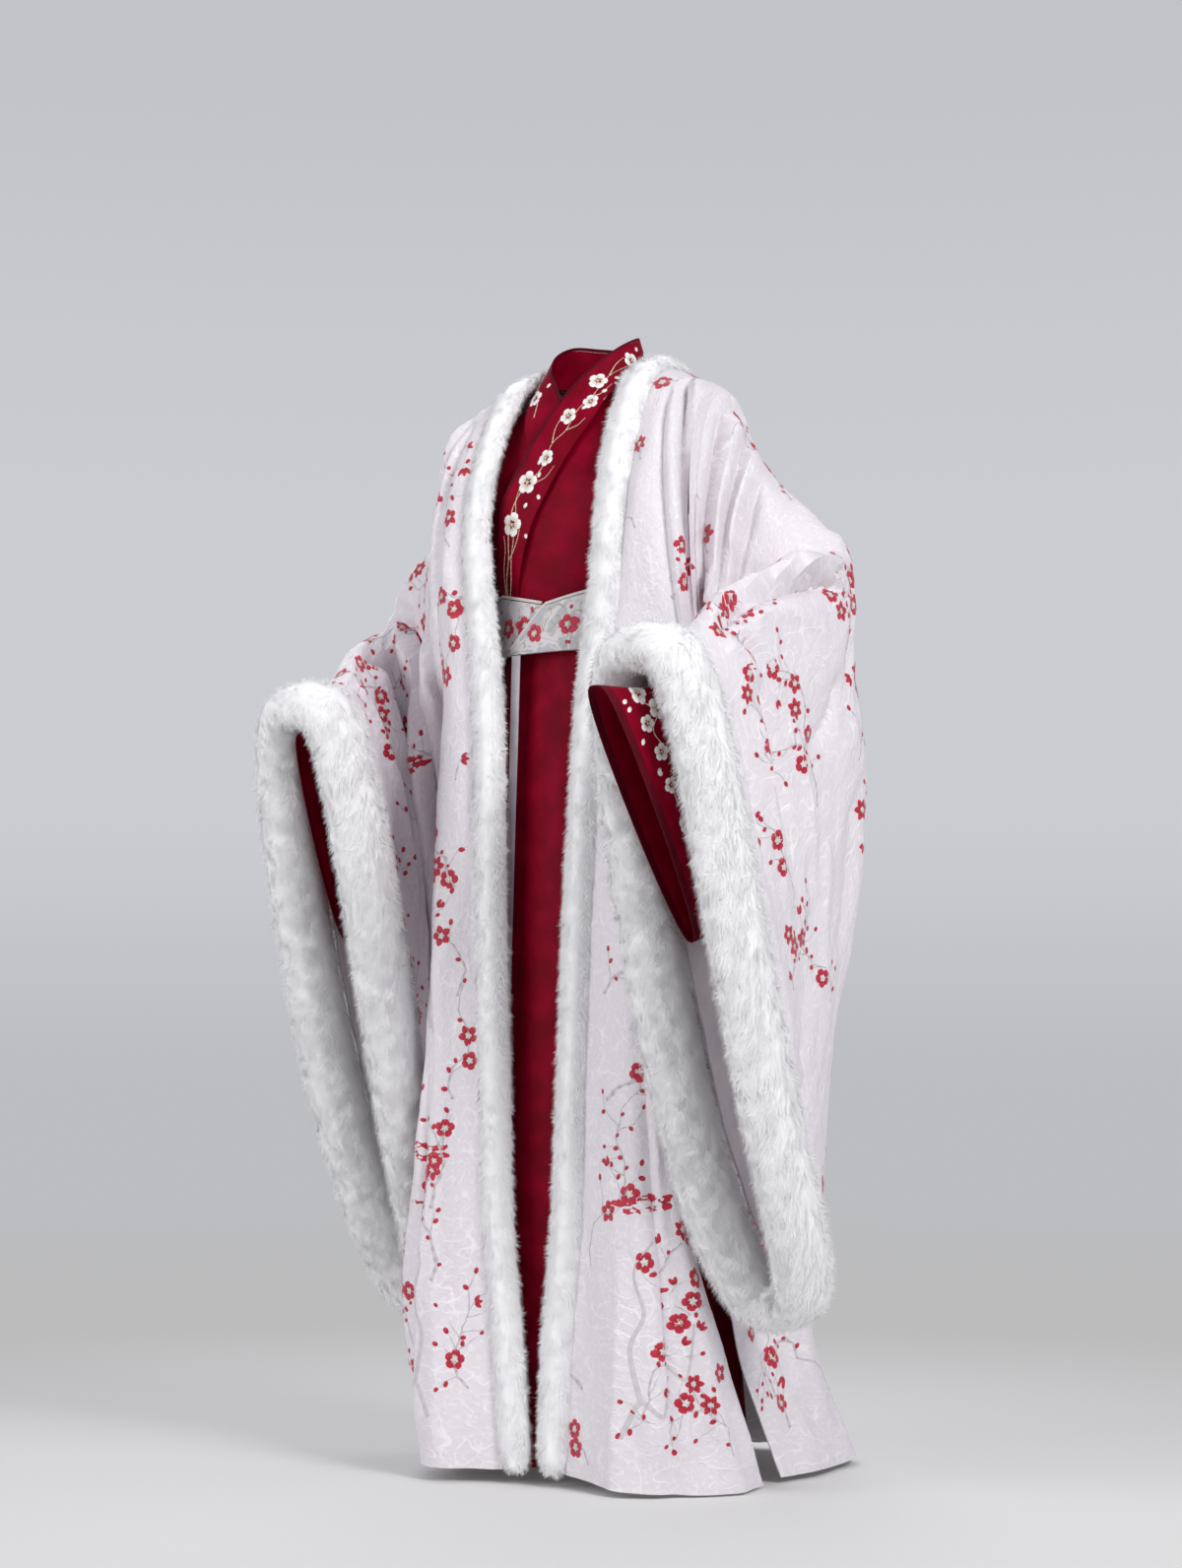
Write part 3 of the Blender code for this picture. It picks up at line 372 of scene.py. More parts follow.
def rows_of_cloth(inner, lean, outer, across):
    """Each row curves from its inner edge to its outer one, leaning towards a third point."""
    u = across[:, None, None]
    return inner * (1 - u) ** 2 + lean * 2 * u * (1 - u) + outer * u * u


def inner_body(side):
    """One side of the inner robe from the waist in front over the shoulder to the waist behind."""
    t, u = np.linspace(0, 1, 96), np.linspace(0, 1, 26)
    row = through(INNER_HALF, t)
    points = under_lap(rows_of_cloth(row[:, 0:3], row[:, 3:6], row[:, 6:9], u), side)
    middle = np.array([0.0, 0.0, -0.15])
    normal = outward(points, False, middle)
    edges = ease(u / 0.2)[:, None] * ease((1 - u) / 0.15)[:, None] * ease(t / 0.03)[None]
    pulls = 0.0012 * ripples(points, 11 + side, 0.030, 0.10, (1.0, 1.0, 0.6)) * edges
    points = points + normal * (pulls - 0.35 * COLLAR_OUT)[..., None]
    at_armhole = (t > 0.15) & (t < 0.87)
    on_seam, front, back = t > 0.69, t < 0.15, t > 0.86

    def hold(sides):
        outer_edge = sides[:, -1]
        outer_edge[:, at_armhole, 0] = INNER_ARMHOLE_X - SEAM / 2
        outer_edge[:, front, 1] = np.minimum(outer_edge[:, front, 1], -SEAM)
        outer_edge[:, back, 1] = np.maximum(outer_edge[:, back, 1], SEAM)
        sides[:, 0, on_seam, 0] = SEAM / 2
        sides[..., 2] = np.maximum(sides[..., 2], WAIST + SEAM)

    return sew(named("inner_body", side), points, INNER_CLOTH, CRIMSON,
               middle=middle, hold=hold, side=side)[0]


inner_bodies = {side: inner_body(side) for side in (1, -1)}

# ---------------------------------------------------------------------------------------------
# Inner sleeves
# Straight sleeves of crimson satin that hang flat in the outer ones and show past their mouths,
# each bound at its own mouth with a dark red strip.
INNER_SLEEVE = {
    # s, top x, y, z, bottom x, y, z, angle, half width near the top, middle, bottom
    1: [
        (0.00, 0.172, 0.000, -0.016, 0.172, 0.000, -0.205, 90, 0.052, 0.052, 0.052),
        (0.12, 0.236, 0.008, -0.094, 0.222, 0.010, -0.290, 86, 0.044, 0.046, 0.036),
        (0.28, 0.306, 0.019, -0.180, 0.284, 0.024, -0.390, 76, 0.038, 0.040, 0.028),
        (0.44, 0.362, 0.012, -0.264, 0.346, 0.022, -0.500, 50, 0.036, 0.034, 0.020),
        (0.58, 0.364, -0.055, -0.302, 0.352, -0.020, -0.585, 28, 0.034, 0.030, 0.018),
        (0.72, 0.352, -0.150, -0.358, 0.346, -0.075, -0.665, 12, 0.030, 0.026, 0.018),
        (0.86, 0.336, -0.290, -0.436, 0.342, -0.150, -0.720, -6, 0.022, 0.022, 0.018),
        (1.00, 0.302, -0.425, -0.446, 0.322, -0.240, -0.754, -12, 0.028, 0.024, 0.018),
    ],
    -1: [
        (0.00, 0.172, 0.000, -0.016, 0.172, 0.000, -0.205, 90, 0.052, 0.052, 0.052),
        (0.12, 0.226, 0.008, -0.130, 0.214, 0.010, -0.300, 86, 0.040, 0.042, 0.034),
        (0.28, 0.296, 0.019, -0.218, 0.274, 0.030, -0.395, 76, 0.034, 0.036, 0.024),
        (0.44, 0.356, 0.010, -0.300, 0.336, 0.025, -0.495, 50, 0.029, 0.029, 0.018),
        (0.58, 0.364, -0.046, -0.340, 0.344, -0.005, -0.580, 32, 0.027, 0.026, 0.018),
        (0.72, 0.336, -0.125, -0.378, 0.332, -0.045, -0.650, 20, 0.032, 0.028, 0.018),
        (0.86, 0.288, -0.215, -0.448, 0.306, -0.095, -0.700, 8, 0.021, 0.021, 0.018),
        (1.00, 0.268, -0.300, -0.460, 0.289, -0.175, -0.735, 2, 0.022, 0.021, 0.018),
    ],
}
INNER_SLEEVE_LENGTH = 0.4
ELBOW_SLIM = {1: 0.12, -1: 0.34}
CUFF_EDGE_FROM = 0.987
ARMHOLE_BLUNT, TOP_BLUNT, BOTTOM_BLUNT = 0.80, 0.52, 0.62
DARK_RED = silk_satin("dark_red_binding", (0.115, 0.0004, 0.011), (0.080, 0.0004, 0.007), 0.55, shine=0.12)


def hanging_loops(table, s, q, sweep=0.0):
    """Upright loops from armhole to cuff: the height goes as half of 1 - cos, the width as a power
    of sin, blunter away from the armhole; towards the cuff the lowest part sweeps back."""
    row = through(table, s)
    top, bottom = row[:, None, 0:3], row[:, None, 3:6]
    angle = np.radians(row[:, 6])
    across = np.stack([np.cos(angle), np.sin(angle), np.zeros_like(angle)], axis=-1)[:, None]
    turn = 2 * np.pi * q[None, :]
    height = (1 - np.cos(turn)) / 2
    w_top, w_middle, w_bottom = row[:, None, 7], row[:, None, 8], row[:, None, 9]
    half = (
        w_bottom * (1 - height) ** 3
        + w_middle * (1 - (1 - height) ** 3 - height**3)
        + w_top * height**3
    )
    blunt_end = BOTTOM_BLUNT + (TOP_BLUNT - BOTTOM_BLUNT) * height
    power = ARMHOLE_BLUNT + (blunt_end - ARMHOLE_BLUNT) * np.clip(s / 0.3, 0, 1)[:, None]
    blunt = np.sign(np.sin(turn)) * np.abs(np.sin(turn)) ** power
    back = sweep * s[:, None] ** 4 * (1 - height) ** 4
    points = bottom + (top - bottom) * height[..., None] + across * (half * blunt)[..., None]
    return (points + back[..., None] * np.array([0.0, 1.0, 0.0])).transpose(1, 0, 2)


def even_round(table, count, sweep=0.0):
    """Places round a loop, from its bottom, at even steps of its mean girth."""
    fine = np.linspace(0, 1, 2001)
    loops = hanging_loops(table, np.linspace(0, 1, 9), fine, sweep)
    girth = np.linalg.norm(np.diff(loops, axis=0), axis=-1).mean(axis=1)
    girth = np.append(0, np.cumsum(girth))
    return np.interp(np.linspace(0, girth[-1], count, endpoint=False), girth, fine)


def inner_sleeve(side):
    """Crimson sleeve, slimmer round the elbow, and the dark red binding of its mouth."""
    table = [(*row[:8], *(w * (1 - ELBOW_SLIM[side] * math.exp(-(((row[0] - 0.52) / 0.22) ** 2)))
                          for w in row[8:])) for row in INNER_SLEEVE[side]]
    q = even_round(table, 72)
    gap = SEAM / 2 / INNER_SLEEVE_LENGTH
    s = np.linspace(0, CUFF_EDGE_FROM - gap, 64)
    points = hanging_loops(table, s, q)
    middle = points.mean(axis=0, keepdims=True)
    normal = outward(points, True, middle)
    ends = ease(s / 0.1) * ease((1 - s) / 0.06)
    creases = 0.0016 * ripples(points, 21 + side, 0.025, 0.09, (1, 1, 0.45)) * ends[None]
    points = points + normal * creases[..., None]

    def hold(sides):
        sides[:, :, 0, 0] = INNER_ARMHOLE_X + SEAM / 2

    sleeve = sew(named("inner_sleeve", side), points, INNER_CLOTH, CRIMSON,
                 True, middle, hold, side)
    s = np.linspace(CUFF_EDGE_FROM + gap, 1, 5)
    points = hanging_loops(table, s, q)
    middle = points.mean(axis=0, keepdims=True)
    cuff = sew(named("inner_cuff", side), points, INNER_CLOTH, DARK_RED,
               True, middle, None, side)
    return sleeve[0], cuff[0], sleeve[1], q


inner_sleeves = {side: inner_sleeve(side) for side in (1, -1)}

# ---------------------------------------------------------------------------------------------
# Collar
# A stiffened band of crimson satin from the nape round the neck and across the chest to the belt,
# left over right, its upper edge bound in dark red.
COLLAR_CLOTH = 0.0014
COLLAR_EDGE = 0.075
COLLAR_EDGE_GAP = 0.0025
COLLAR = [
    # t,   upper x, y,      z,      lower x, y,      z
    (0.00, 0.000, 0.074, 0.100, 0.000, 0.094, 0.040),
    (0.10, 0.032, 0.066, 0.105, 0.046, 0.080, 0.042),
    (0.20, 0.054, 0.036, 0.104, 0.068, 0.044, 0.046),
    (0.30, 0.053, -0.008, 0.084, 0.074, -0.008, 0.040),
    (0.40, 0.038, -0.042, 0.056, 0.070, -0.054, 0.010),
    (0.50, 0.014, -0.064, 0.024, 0.060, -0.082, -0.030),
    (0.62, -0.016, -0.082, -0.020, 0.038, -0.099, -0.070),
    (0.75, -0.048, -0.096, -0.078, 0.008, -0.108, -0.120),
    (0.88, -0.080, -0.102, -0.140, -0.024, -0.111, -0.178),
    (1.00, -0.095, -0.091, -0.205, -0.046, -0.104, -0.236),
    (1.12, -0.104, -0.074, -0.262, -0.064, -0.087, -0.292),
]
COLLAR_END = 1.12


def collar_band(side, t, across):
    """Band from its upper edge (0) to its lower edge (1)."""
    row = through(COLLAR, t)
    upper, lower = row[:, None, 0:3], row[:, None, 3:6]
    return under_lap(upper + (lower - upper) * across[None, :, None], side).transpose(1, 0, 2)


def collar(side):
    """Collar band and the binding of its upper edge."""

    def hold(sides):
        sides[:, :, 0, 0] = SEAM / 2

    t = np.linspace(0, COLLAR_END, 120)
    band = collar_band(side, t, np.linspace(COLLAR_EDGE + COLLAR_EDGE_GAP, 1, 18))
    middle = (0.0, 0.0, 0.0)
    made = sew(named("collar", side), band, COLLAR_CLOTH, CRIMSON,
               False, middle, hold, side)
    edge = collar_band(side, t, np.linspace(0, COLLAR_EDGE - COLLAR_EDGE_GAP, 5))
    bound = sew(named("collar_edge", side), edge, COLLAR_CLOTH, DARK_RED,
                False, middle, hold, side)
    return made[0], bound[0], made[1]


collars = {side: collar(side) for side in (1, -1)}

# ---------------------------------------------------------------------------------------------
# Belt
# A wide wrapped belt of grey-white brocade, pointed in front and crossed left over right, with a
# twisted pale cord sewn along its upper edge.
BELT_CLOTH = 0.0030
BELT_TOP = -0.266
BELT_NOTCH = -0.285
BELT_BOTTOM = -0.348
BELT_TIP_X = -0.062
TRIM_RADIUS = 0.0024
BELT_HALF_WIDTH = 0.140
BELT_FRONT = 0.1015
BELT_BACK = 0.110
BELT_LAP = 0.0050
BELT_SQUARE = 0.9
BELT_ROWS = 14
CORD_TWIST = 0.0058


def belt_brocade():
    """Pale brocade: soft grey leaves and greenish stems woven into a fine ribbed ground."""
    made, tree, shader = new_finish("belt_silk_brocade", (0.62, 0.60, 0.61), 0.46, 0.15)
    place = wire(tree, "ShaderNodeUVMap", uv_map="cloth").outputs["UV"]
    drift = wire(tree, "ShaderNodeTexNoise", {"Vector": place, "Scale": 34.0, "Detail": 2.0,
                                              "Distortion": 1.6})
    leaves = ranged(tree, drift.outputs["Fac"], 0.50, 0.60)
    stems = wire(tree, "ShaderNodeTexNoise", {"Vector": place, "Scale": 19.0, "Detail": 1.0,
                                              "Distortion": 2.2})
    off = wire(tree, "ShaderNodeMath", {0: stems.outputs["Fac"], 1: 0.5}, operation="SUBTRACT")
    off = wire(tree, "ShaderNodeMath", {0: off.outputs[0]}, operation="ABSOLUTE").outputs[0]
    line = ranged(tree, off, 0.006, 0.018, 1.0, 0.0)
    ground = mixed(tree, leaves, (0.66, 0.63, 0.65), (0.46, 0.455, 0.48))
    tree.links.new(mixed(tree, line, ground, (0.36, 0.33, 0.22)), shader.inputs["Base Color"])
    ribs = wire(tree, "ShaderNodeTexWave", {"Vector": place, "Scale": 260.0, "Distortion": 1.0},
                bands_direction="Y")
    raised = wire(tree, "ShaderNodeBump", {"Height": ribs.outputs["Fac"], "Strength": 0.25,
                                           "Distance": 0.0004}).outputs["Normal"]
    tree.links.new(crinkle(tree, place, [(120.0, 0.25)], 0.001, raised), shader.inputs["Normal"])
    return made


def twisted_cord():
    """Pale cord: its strands come from the twist of the mesh, its grain is fine."""
    made, tree, shader = new_finish("belt_twisted_cord", (0.70, 0.64, 0.62), 0.55, 0.2)
    place = wire(tree, "ShaderNodeTexCoord").outputs["Object"]
    grain = wire(tree, "ShaderNodeTexNoise", {"Vector": place, "Scale": 700.0, "Detail": 2.0})
    tree.links.new(mixed(tree, grain.outputs["Fac"], (0.50, 0.45, 0.44), (0.86, 0.80, 0.77)),
                   shader.inputs["Base Color"])
    return made


BROCADE = belt_brocade()
PALE_CORD = twisted_cord()


def belt_ring(turn, lap, z):
    """Points of the belt's ring: a blunt oval, a little larger for the layer that lies on top."""
    depth = np.where(np.cos(turn) > 0, BELT_FRONT + lap, BELT_BACK)
    x = (BELT_HALF_WIDTH + lap) * np.sign(np.sin(turn)) * np.abs(np.sin(turn)) ** BELT_SQUARE
    y = -depth * np.sign(np.cos(turn)) * np.abs(np.cos(turn)) ** BELT_SQUARE
    return np.stack([x, y, z], axis=-1)


def roll_faces(count, sides, closed=False):
    """Triangles round a roll of rings and, unless it closes on itself, a fan over each end about
    the two points that follow the rings."""
    index = np.arange(count * sides).reshape(count, sides)
    after = np.roll(index, -1, axis=1)
    rows = slice(None) if closed else slice(-1)
    ahead, ahead_after = np.roll(index, -1, axis=0)[rows], np.roll(after, -1, axis=0)[rows]
    quads = np.stack([index[rows], after[rows], ahead_after, ahead], -1).reshape(-1, 4)
    faces = [quads[:, [0, 1, 2]], quads[:, [0, 2, 3]]]
    if not closed:
        centre = np.full(sides, count * sides)
        faces += [np.stack([centre, after[0], index[0]], -1),
                  np.stack([centre + 1, index[-1], after[-1]], -1)]
    return faces


def strand_roll(name, path, radius, sides, side):
    """Twisted roll along a path: its radius swells three times round, turning as it goes."""
    step = np.append(0, np.cumsum(np.linalg.norm(np.diff(path, axis=0), axis=-1)))
    tangent = unit(np.gradient(path, axis=0))
    up = np.broadcast_to(np.array([0.0, 0.0, 1.0]), path.shape)
    up = unit(up - tangent * np.sum(up * tangent, axis=-1, keepdims=True))
    wide = np.cross(tangent, up)
    turn = np.linspace(0, 2 * np.pi, sides, endpoint=False)[None]
    lobes = 0.80 + 0.20 * np.abs(np.cos(1.5 * turn + np.pi / CORD_TWIST * step[:, None]))
    size = radius * lobes * ease(np.minimum(step, step[-1] - step) / 0.001 + 0.35)[:, None]
    rings = path[:, None] + size[..., None] * (
        np.cos(turn)[..., None] * wide[:, None] + np.sin(turn)[..., None] * up[:, None]
    )
    points = np.concatenate([rings.reshape(-1, 3), rings[[0, -1]].mean(axis=1)])
    faces = np.concatenate(roll_faces(len(path), sides))
    return solid_mesh(name, on_side(points, side), faces[:, ::side])


def belt_wing(side):
    """Half of the belt from the centre back to its pointed end, and the cord on its upper edge."""
    tip = math.asin(abs(BELT_TIP_X) / BELT_HALF_WIDTH)
    turn = np.concatenate([np.linspace(np.pi, 0.25, 110), np.linspace(0.25, -tip, 50)[1:]])
    ring = belt_ring(turn, 0.0, np.zeros_like(turn))
    over = side > 0
    lap = BELT_LAP * over * np.clip((1.2 - np.abs(turn)) / 0.8, 0, 1)
    slope = np.clip(-ring[:, 0] / abs(BELT_TIP_X), 0, 1)
    rise = np.clip((ring[:, 0]) / 0.09, 0, 1)
    top = BELT_NOTCH + (BELT_TOP - BELT_NOTCH) * np.where(turn > 1.2, 1.0, rise)
    top = top + (BELT_BOTTOM + 0.006 - BELT_NOTCH) * slope
    z = BELT_BOTTOM + (top - BELT_BOTTOM)[:, None] * np.linspace(0, 1, BELT_ROWS)[None]
    points = belt_ring(turn[:, None] + 0 * z, lap[:, None] + 0 * z, z)
    middle = np.array([0.0, 0.0, -0.305])
    points += outward(points, False, middle) * 0.0006 * ripples(points, 31, 0.02, 0.08)[..., None]

    def hold(sides):
        sides[:, 0, :, 0] = SEAM / 2

    belt = sew(named("belt", side), points, BELT_CLOTH, BROCADE,
               False, middle, hold, side)
    keep = slice(None) if over else turn > 0.06
    path = points[keep, -1] + np.array([0, 0, TRIM_RADIUS * 1.2 + SEAM])
    way = np.append(0, np.cumsum(np.linalg.norm(np.diff(path, axis=0), axis=-1)))
    fine = np.linspace(0, way[-1], 640)
    path = np.stack([np.interp(fine, way, path[:, j]) for j in range(3)], -1)
    path[0, 0] = SEAM / 2
    name = named("belt_trim", side)
    trim = put_on(name, strand_roll(name, path, TRIM_RADIUS, 9, side), PALE_CORD, [name])
    return belt[0], trim, belt[1], turn


belts = {side: belt_wing(side) for side in (1, -1)}

# ---------------------------------------------------------------------------------------------
# Ribbon
# A narrow silver-grey satin tie that hangs from under the belt and twists a little on its way.
RIBBON = [
    # t,   x,      y,      z,      turned
    (0.00, -0.049, -0.1080, -0.350, 0),
    (0.20, -0.051, -0.1105, -0.480, 10),
    (0.45, -0.056, -0.1105, -0.650, 25),
    (0.75, -0.062, -0.1105, -0.860, 30),
    (1.00, -0.068, -0.1105, -1.035, 20),
]
RIBBON_WIDTH = 0.014
RIBBON_CLOTH = 0.0010
SILVER = silk_satin("silver_satin_ribbon", (0.50, 0.47, 0.51), (0.38, 0.35, 0.39), 0.30, sheen=0.1)


def ribbon_points():
    """Rows across the tie, cupped along its length and lightly waved."""
    row = through(RIBBON, np.linspace(0, 1, 90))
    angle = np.radians(row[:, 3])
    across = np.stack([np.cos(angle), -np.sin(angle) * 0.35, 0 * angle], axis=-1)
    share = np.linspace(-0.5, 0.5, 9)
    points = row[None, :, 0:3] + across[None] * (share * RIBBON_WIDTH)[:, None, None]
    cup = 0.0022 * (0.25 - share**2)[:, None] * (1 + 0.5 * np.sin(40 * row[None, :, 2]))
    points[..., 1] -= cup
    return points


ribbon = sew("ribbon", ribbon_points(), RIBBON_CLOTH, SILVER, middle=(0, 0, -0.7))[0]

# ---------------------------------------------------------------------------------------------
# Outer robe's body
# Each side is one length of pinkish-white silk jacquard from the front hem over the shoulder to
# the train behind, seamed at the centre back and slit at the side below the hips.
OUTER_CLOTH = 0.0018
HEM = -1.445
ARMPIT = -0.42
FUR_HALF_WIDTH = 0.027
FUR_HALF_THICK = 0.013
FUR_GAP = 0.0036
UNDER_FUR = 0.005
SIDE_SEAM_Y = 0.0016
LIFT_BELOW = -1.15
ARMHOLES = {
    # side: x,   top,    half depth, narrower, hem lift
    1: (0.225, -0.002, 0.080, 1.00, 0.000),
    -1: (0.205, -0.008, 0.066, 0.86, 0.020),
}
FUR_EDGE = [
    # t,   x left, x right, y,      z,      wide x, wide y, wide z
    (0.00, 0.030, 0.030, -0.130, -1.442, 1.00, 0.00, 0.00),
    (0.08, 0.040, 0.040, -0.135, -1.285, 1.00, 0.00, 0.00),
    (0.18, 0.058, 0.056, -0.137, -1.110, 1.00, 0.00, 0.00),
    (0.30, 0.066, 0.064, -0.136, -0.895, 1.00, -0.05, 0.00),
    (0.44, 0.077, 0.073, -0.134, -0.640, 1.00, -0.08, 0.00),
    (0.57, 0.093, 0.083, -0.130, -0.400, 1.00, -0.08, 0.00),
    (0.64, 0.112, 0.095, -0.129, -0.280, 1.00, 0.05, 0.00),
    (0.70, 0.120, 0.106, -0.124, -0.170, 1.00, 0.15, -0.05),
    (0.75, 0.118, 0.106, -0.103, -0.080, 1.00, 0.15, -0.15),
    (0.80, 0.112, 0.105, -0.052, 0.016, 1.00, 0.00, -0.30),
    (0.86, 0.108, 0.102, 0.015, 0.055, 0.95, 0.10, -0.35),
    (0.92, 0.090, 0.086, 0.084, 0.053, 0.65, 0.60, -0.45),
    (0.96, 0.052, 0.050, 0.120, 0.043, 0.35, 0.75, -0.55),
    (1.00, 0.000, 0.000, 0.130, 0.038, 0.00, 0.82, -0.57),
]
CENTRE_BACK = [
    # t,   y,     z
    (1.00, 0.1556, 0.0202),
    (1.12, 0.164, -0.125),
    (1.30, 0.168, -0.360),
    (1.50, 0.180, -0.680),
    (1.70, 0.205, -1.000),
    (1.86, 0.270, -1.270),
    (2.00, 0.390, -1.450),
]
SLIT_FRONT = [
    # t,   x,     y,      z
    (0.00, 0.262, 0.020, -1.456),
    (0.06, 0.256, -0.040, -1.345),
    (0.13, 0.245, -0.090, -1.210),
    (0.24, 0.222, -0.118, -1.030),
    (0.37, 0.216, -0.080, -0.800),
    (0.52, 0.221, -0.012, -0.520),
]
SLIT_BACK = [
    # t,   x,     y,      z
    (1.32, 0.221, -0.004, -0.520),
    (1.50, 0.220, -0.022, -0.800),
    (1.72, 0.222, -0.018, -1.130),
    (1.86, 0.230, 0.010, -1.290),
    (2.00, 0.255, 0.078, -1.452),
]
LEAN = [
    # t,   x,     y,      z
    (0.00, 0.278, -0.225, -1.462),
    (0.13, 0.250, -0.205, -1.215),
    (0.24, 0.225, -0.190, -1.035),
    (0.37, 0.215, -0.190, -0.800),
    (0.52, 0.222, -0.165, -0.500),
    (0.60, 0.222, -0.150, -0.340),
    (0.68, 0.205, -0.150, -0.180),
    (0.74, 0.185, -0.120, -0.050),
    (0.80, 0.172, -0.040, 0.030),
    (0.86, 0.170, 0.040, 0.030),
    (1.00, 0.150, 0.155, -0.060),
    (1.12, 0.215, 0.170, -0.180),
    (1.30, 0.240, 0.180, -0.420),
    (1.50, 0.250, 0.210, -0.750),
    (1.70, 0.260, 0.250, -1.050),
    (1.86, 0.270, 0.340, -1.290),
    (2.00, 0.290, 0.440, -1.450),
]
ARMHOLE_FROM, ARMHOLE_PEAK, ARMHOLE_TO = 0.60, 0.82, 1.24
BODY_FOLDS = [
    # t from, t to, u,    stands out, width
    (-0.22, 0.34, 0.26, 0.016, 0.09),
    (-0.22, 0.45, 0.56, -0.018, 0.09),
    (-0.22, 0.30, 0.84, 0.016, 0.08),
    (0.45, 0.80, 0.72, 0.008, 0.10),
    (1.20, 2.15, 0.16, 0.014, 0.08),
    (1.10, 2.15, 0.36, -0.016, 0.08),
    (1.30, 2.15, 0.56, 0.016, 0.08),
    (1.40, 2.15, 0.78, -0.014, 0.08),
]
# Creases listed for each side: three places (along t, across u), how far the crease stands
# out, its half width and how crisp it is (2 is a soft bell, 1 a sharp ridge).
BODY_CREASES = {
    1: [
        # t0, u0,   t1,   u1,   t2,   u2,   out,     width, crisp
        (0.81, 0.54, 0.735, 0.88, 0.59, 0.88, 0.0180, 0.010, 0),
        (0.80, 0.40, 0.700, 0.66, 0.56, 0.66, 0.0100, 0.010, 0),
        (0.44, 0.90, 0.56, 0.91, 0.66, 0.95, -0.0080, 0.010, 1.5),
        (0.36, 0.52, 0.50, 0.58, 0.64, 0.70, -0.0067, 0.018, 1.8),
        (0.30, 0.38, 0.44, 0.43, 0.58, 0.46, 0.0053, 0.020, 1.9),
        (0.24, 0.60, 0.36, 0.66, 0.48, 0.74, 0.0067, 0.018, 1.8),
        (0.16, 0.78, 0.30, 0.80, 0.42, 0.86, -0.0075, 0.016, 1.7),
        (0.02, 0.20, 0.14, 0.26, 0.30, 0.30, -0.0075, 0.020, 1.8),
        (0.00, 0.46, 0.12, 0.48, 0.26, 0.52, 0.0090, 0.022, 1.9),
        (0.00, 0.74, 0.10, 0.74, 0.22, 0.70, -0.0097, 0.020, 1.7),
        (0.00, 0.97, 0.08, 0.96, 0.18, 0.90, 0.0075, 0.016, 1.7),
        (0.56, 0.10, 0.62, 0.22, 0.66, 0.38, -0.0037, 0.012, 1.6),
        (0.66, 0.10, 0.71, 0.24, 0.74, 0.44, 0.0042, 0.014, 1.7),
        (0.78, 0.20, 0.84, 0.60, 0.90, 0.95, -0.0033, 0.016, 1.8),
    ],
    -1: [
        (0.80, 0.60, 0.720, 0.88, 0.60, 0.90, 0.0150, 0.010, 0),
        (0.79, 0.46, 0.690, 0.70, 0.56, 0.74, 0.0100, 0.010, 0),
        (0.40, 0.86, 0.54, 0.88, 0.66, 0.96, -0.0075, 0.012, 1.6),
        (0.32, 0.34, 0.46, 0.40, 0.60, 0.46, 0.0060, 0.018, 1.8),
        (0.26, 0.56, 0.40, 0.58, 0.52, 0.66, -0.0067, 0.016, 1.8),
        (0.10, 0.14, 0.22, 0.22, 0.36, 0.26, -0.0067, 0.018, 1.8),
        (0.00, 0.40, 0.12, 0.42, 0.26, 0.46, 0.0083, 0.020, 1.8),
        (0.00, 0.68, 0.12, 0.66, 0.26, 0.66, -0.0090, 0.018, 1.7),
        (0.00, 0.92, 0.10, 0.90, 0.22, 0.86, 0.0075, 0.016, 1.7),
        (0.60, 0.12, 0.66, 0.26, 0.70, 0.42, 0.0039, 0.013, 1.7),
    ],
}
# Creases of the back, the same on both sides.
BACK_CREASES = [
    (1.02, 0.30, 1.16, 0.22, 1.36, 0.14, -0.0102, 0.016, 1.7),
    (1.04, 0.52, 1.20, 0.40, 1.44, 0.30, 0.0111, 0.018, 1.8),
    (1.10, 0.80, 1.24, 0.62, 1.46, 0.46, -0.0111, 0.016, 1.7),
    (1.14, 0.94, 1.30, 0.80, 1.54, 0.66, 0.0111, 0.016, 1.7),
    (1.22, 0.97, 1.40, 0.92, 1.62, 0.86, -0.0111, 0.014, 1.6),
    (1.60, 0.06, 1.78, 0.09, 2.00, 0.10, -0.0162, 0.026, 1.8),
    (1.50, 0.26, 1.74, 0.26, 2.00, 0.26, 0.0173, 0.028, 1.9),
    (1.62, 0.46, 1.80, 0.46, 2.00, 0.45, -0.0181, 0.028, 1.8),
    (1.54, 0.66, 1.78, 0.68, 2.00, 0.68, 0.0162, 0.026, 1.8),
    (1.66, 0.86, 1.82, 0.88, 2.00, 0.90, -0.0142, 0.022, 1.7),
]


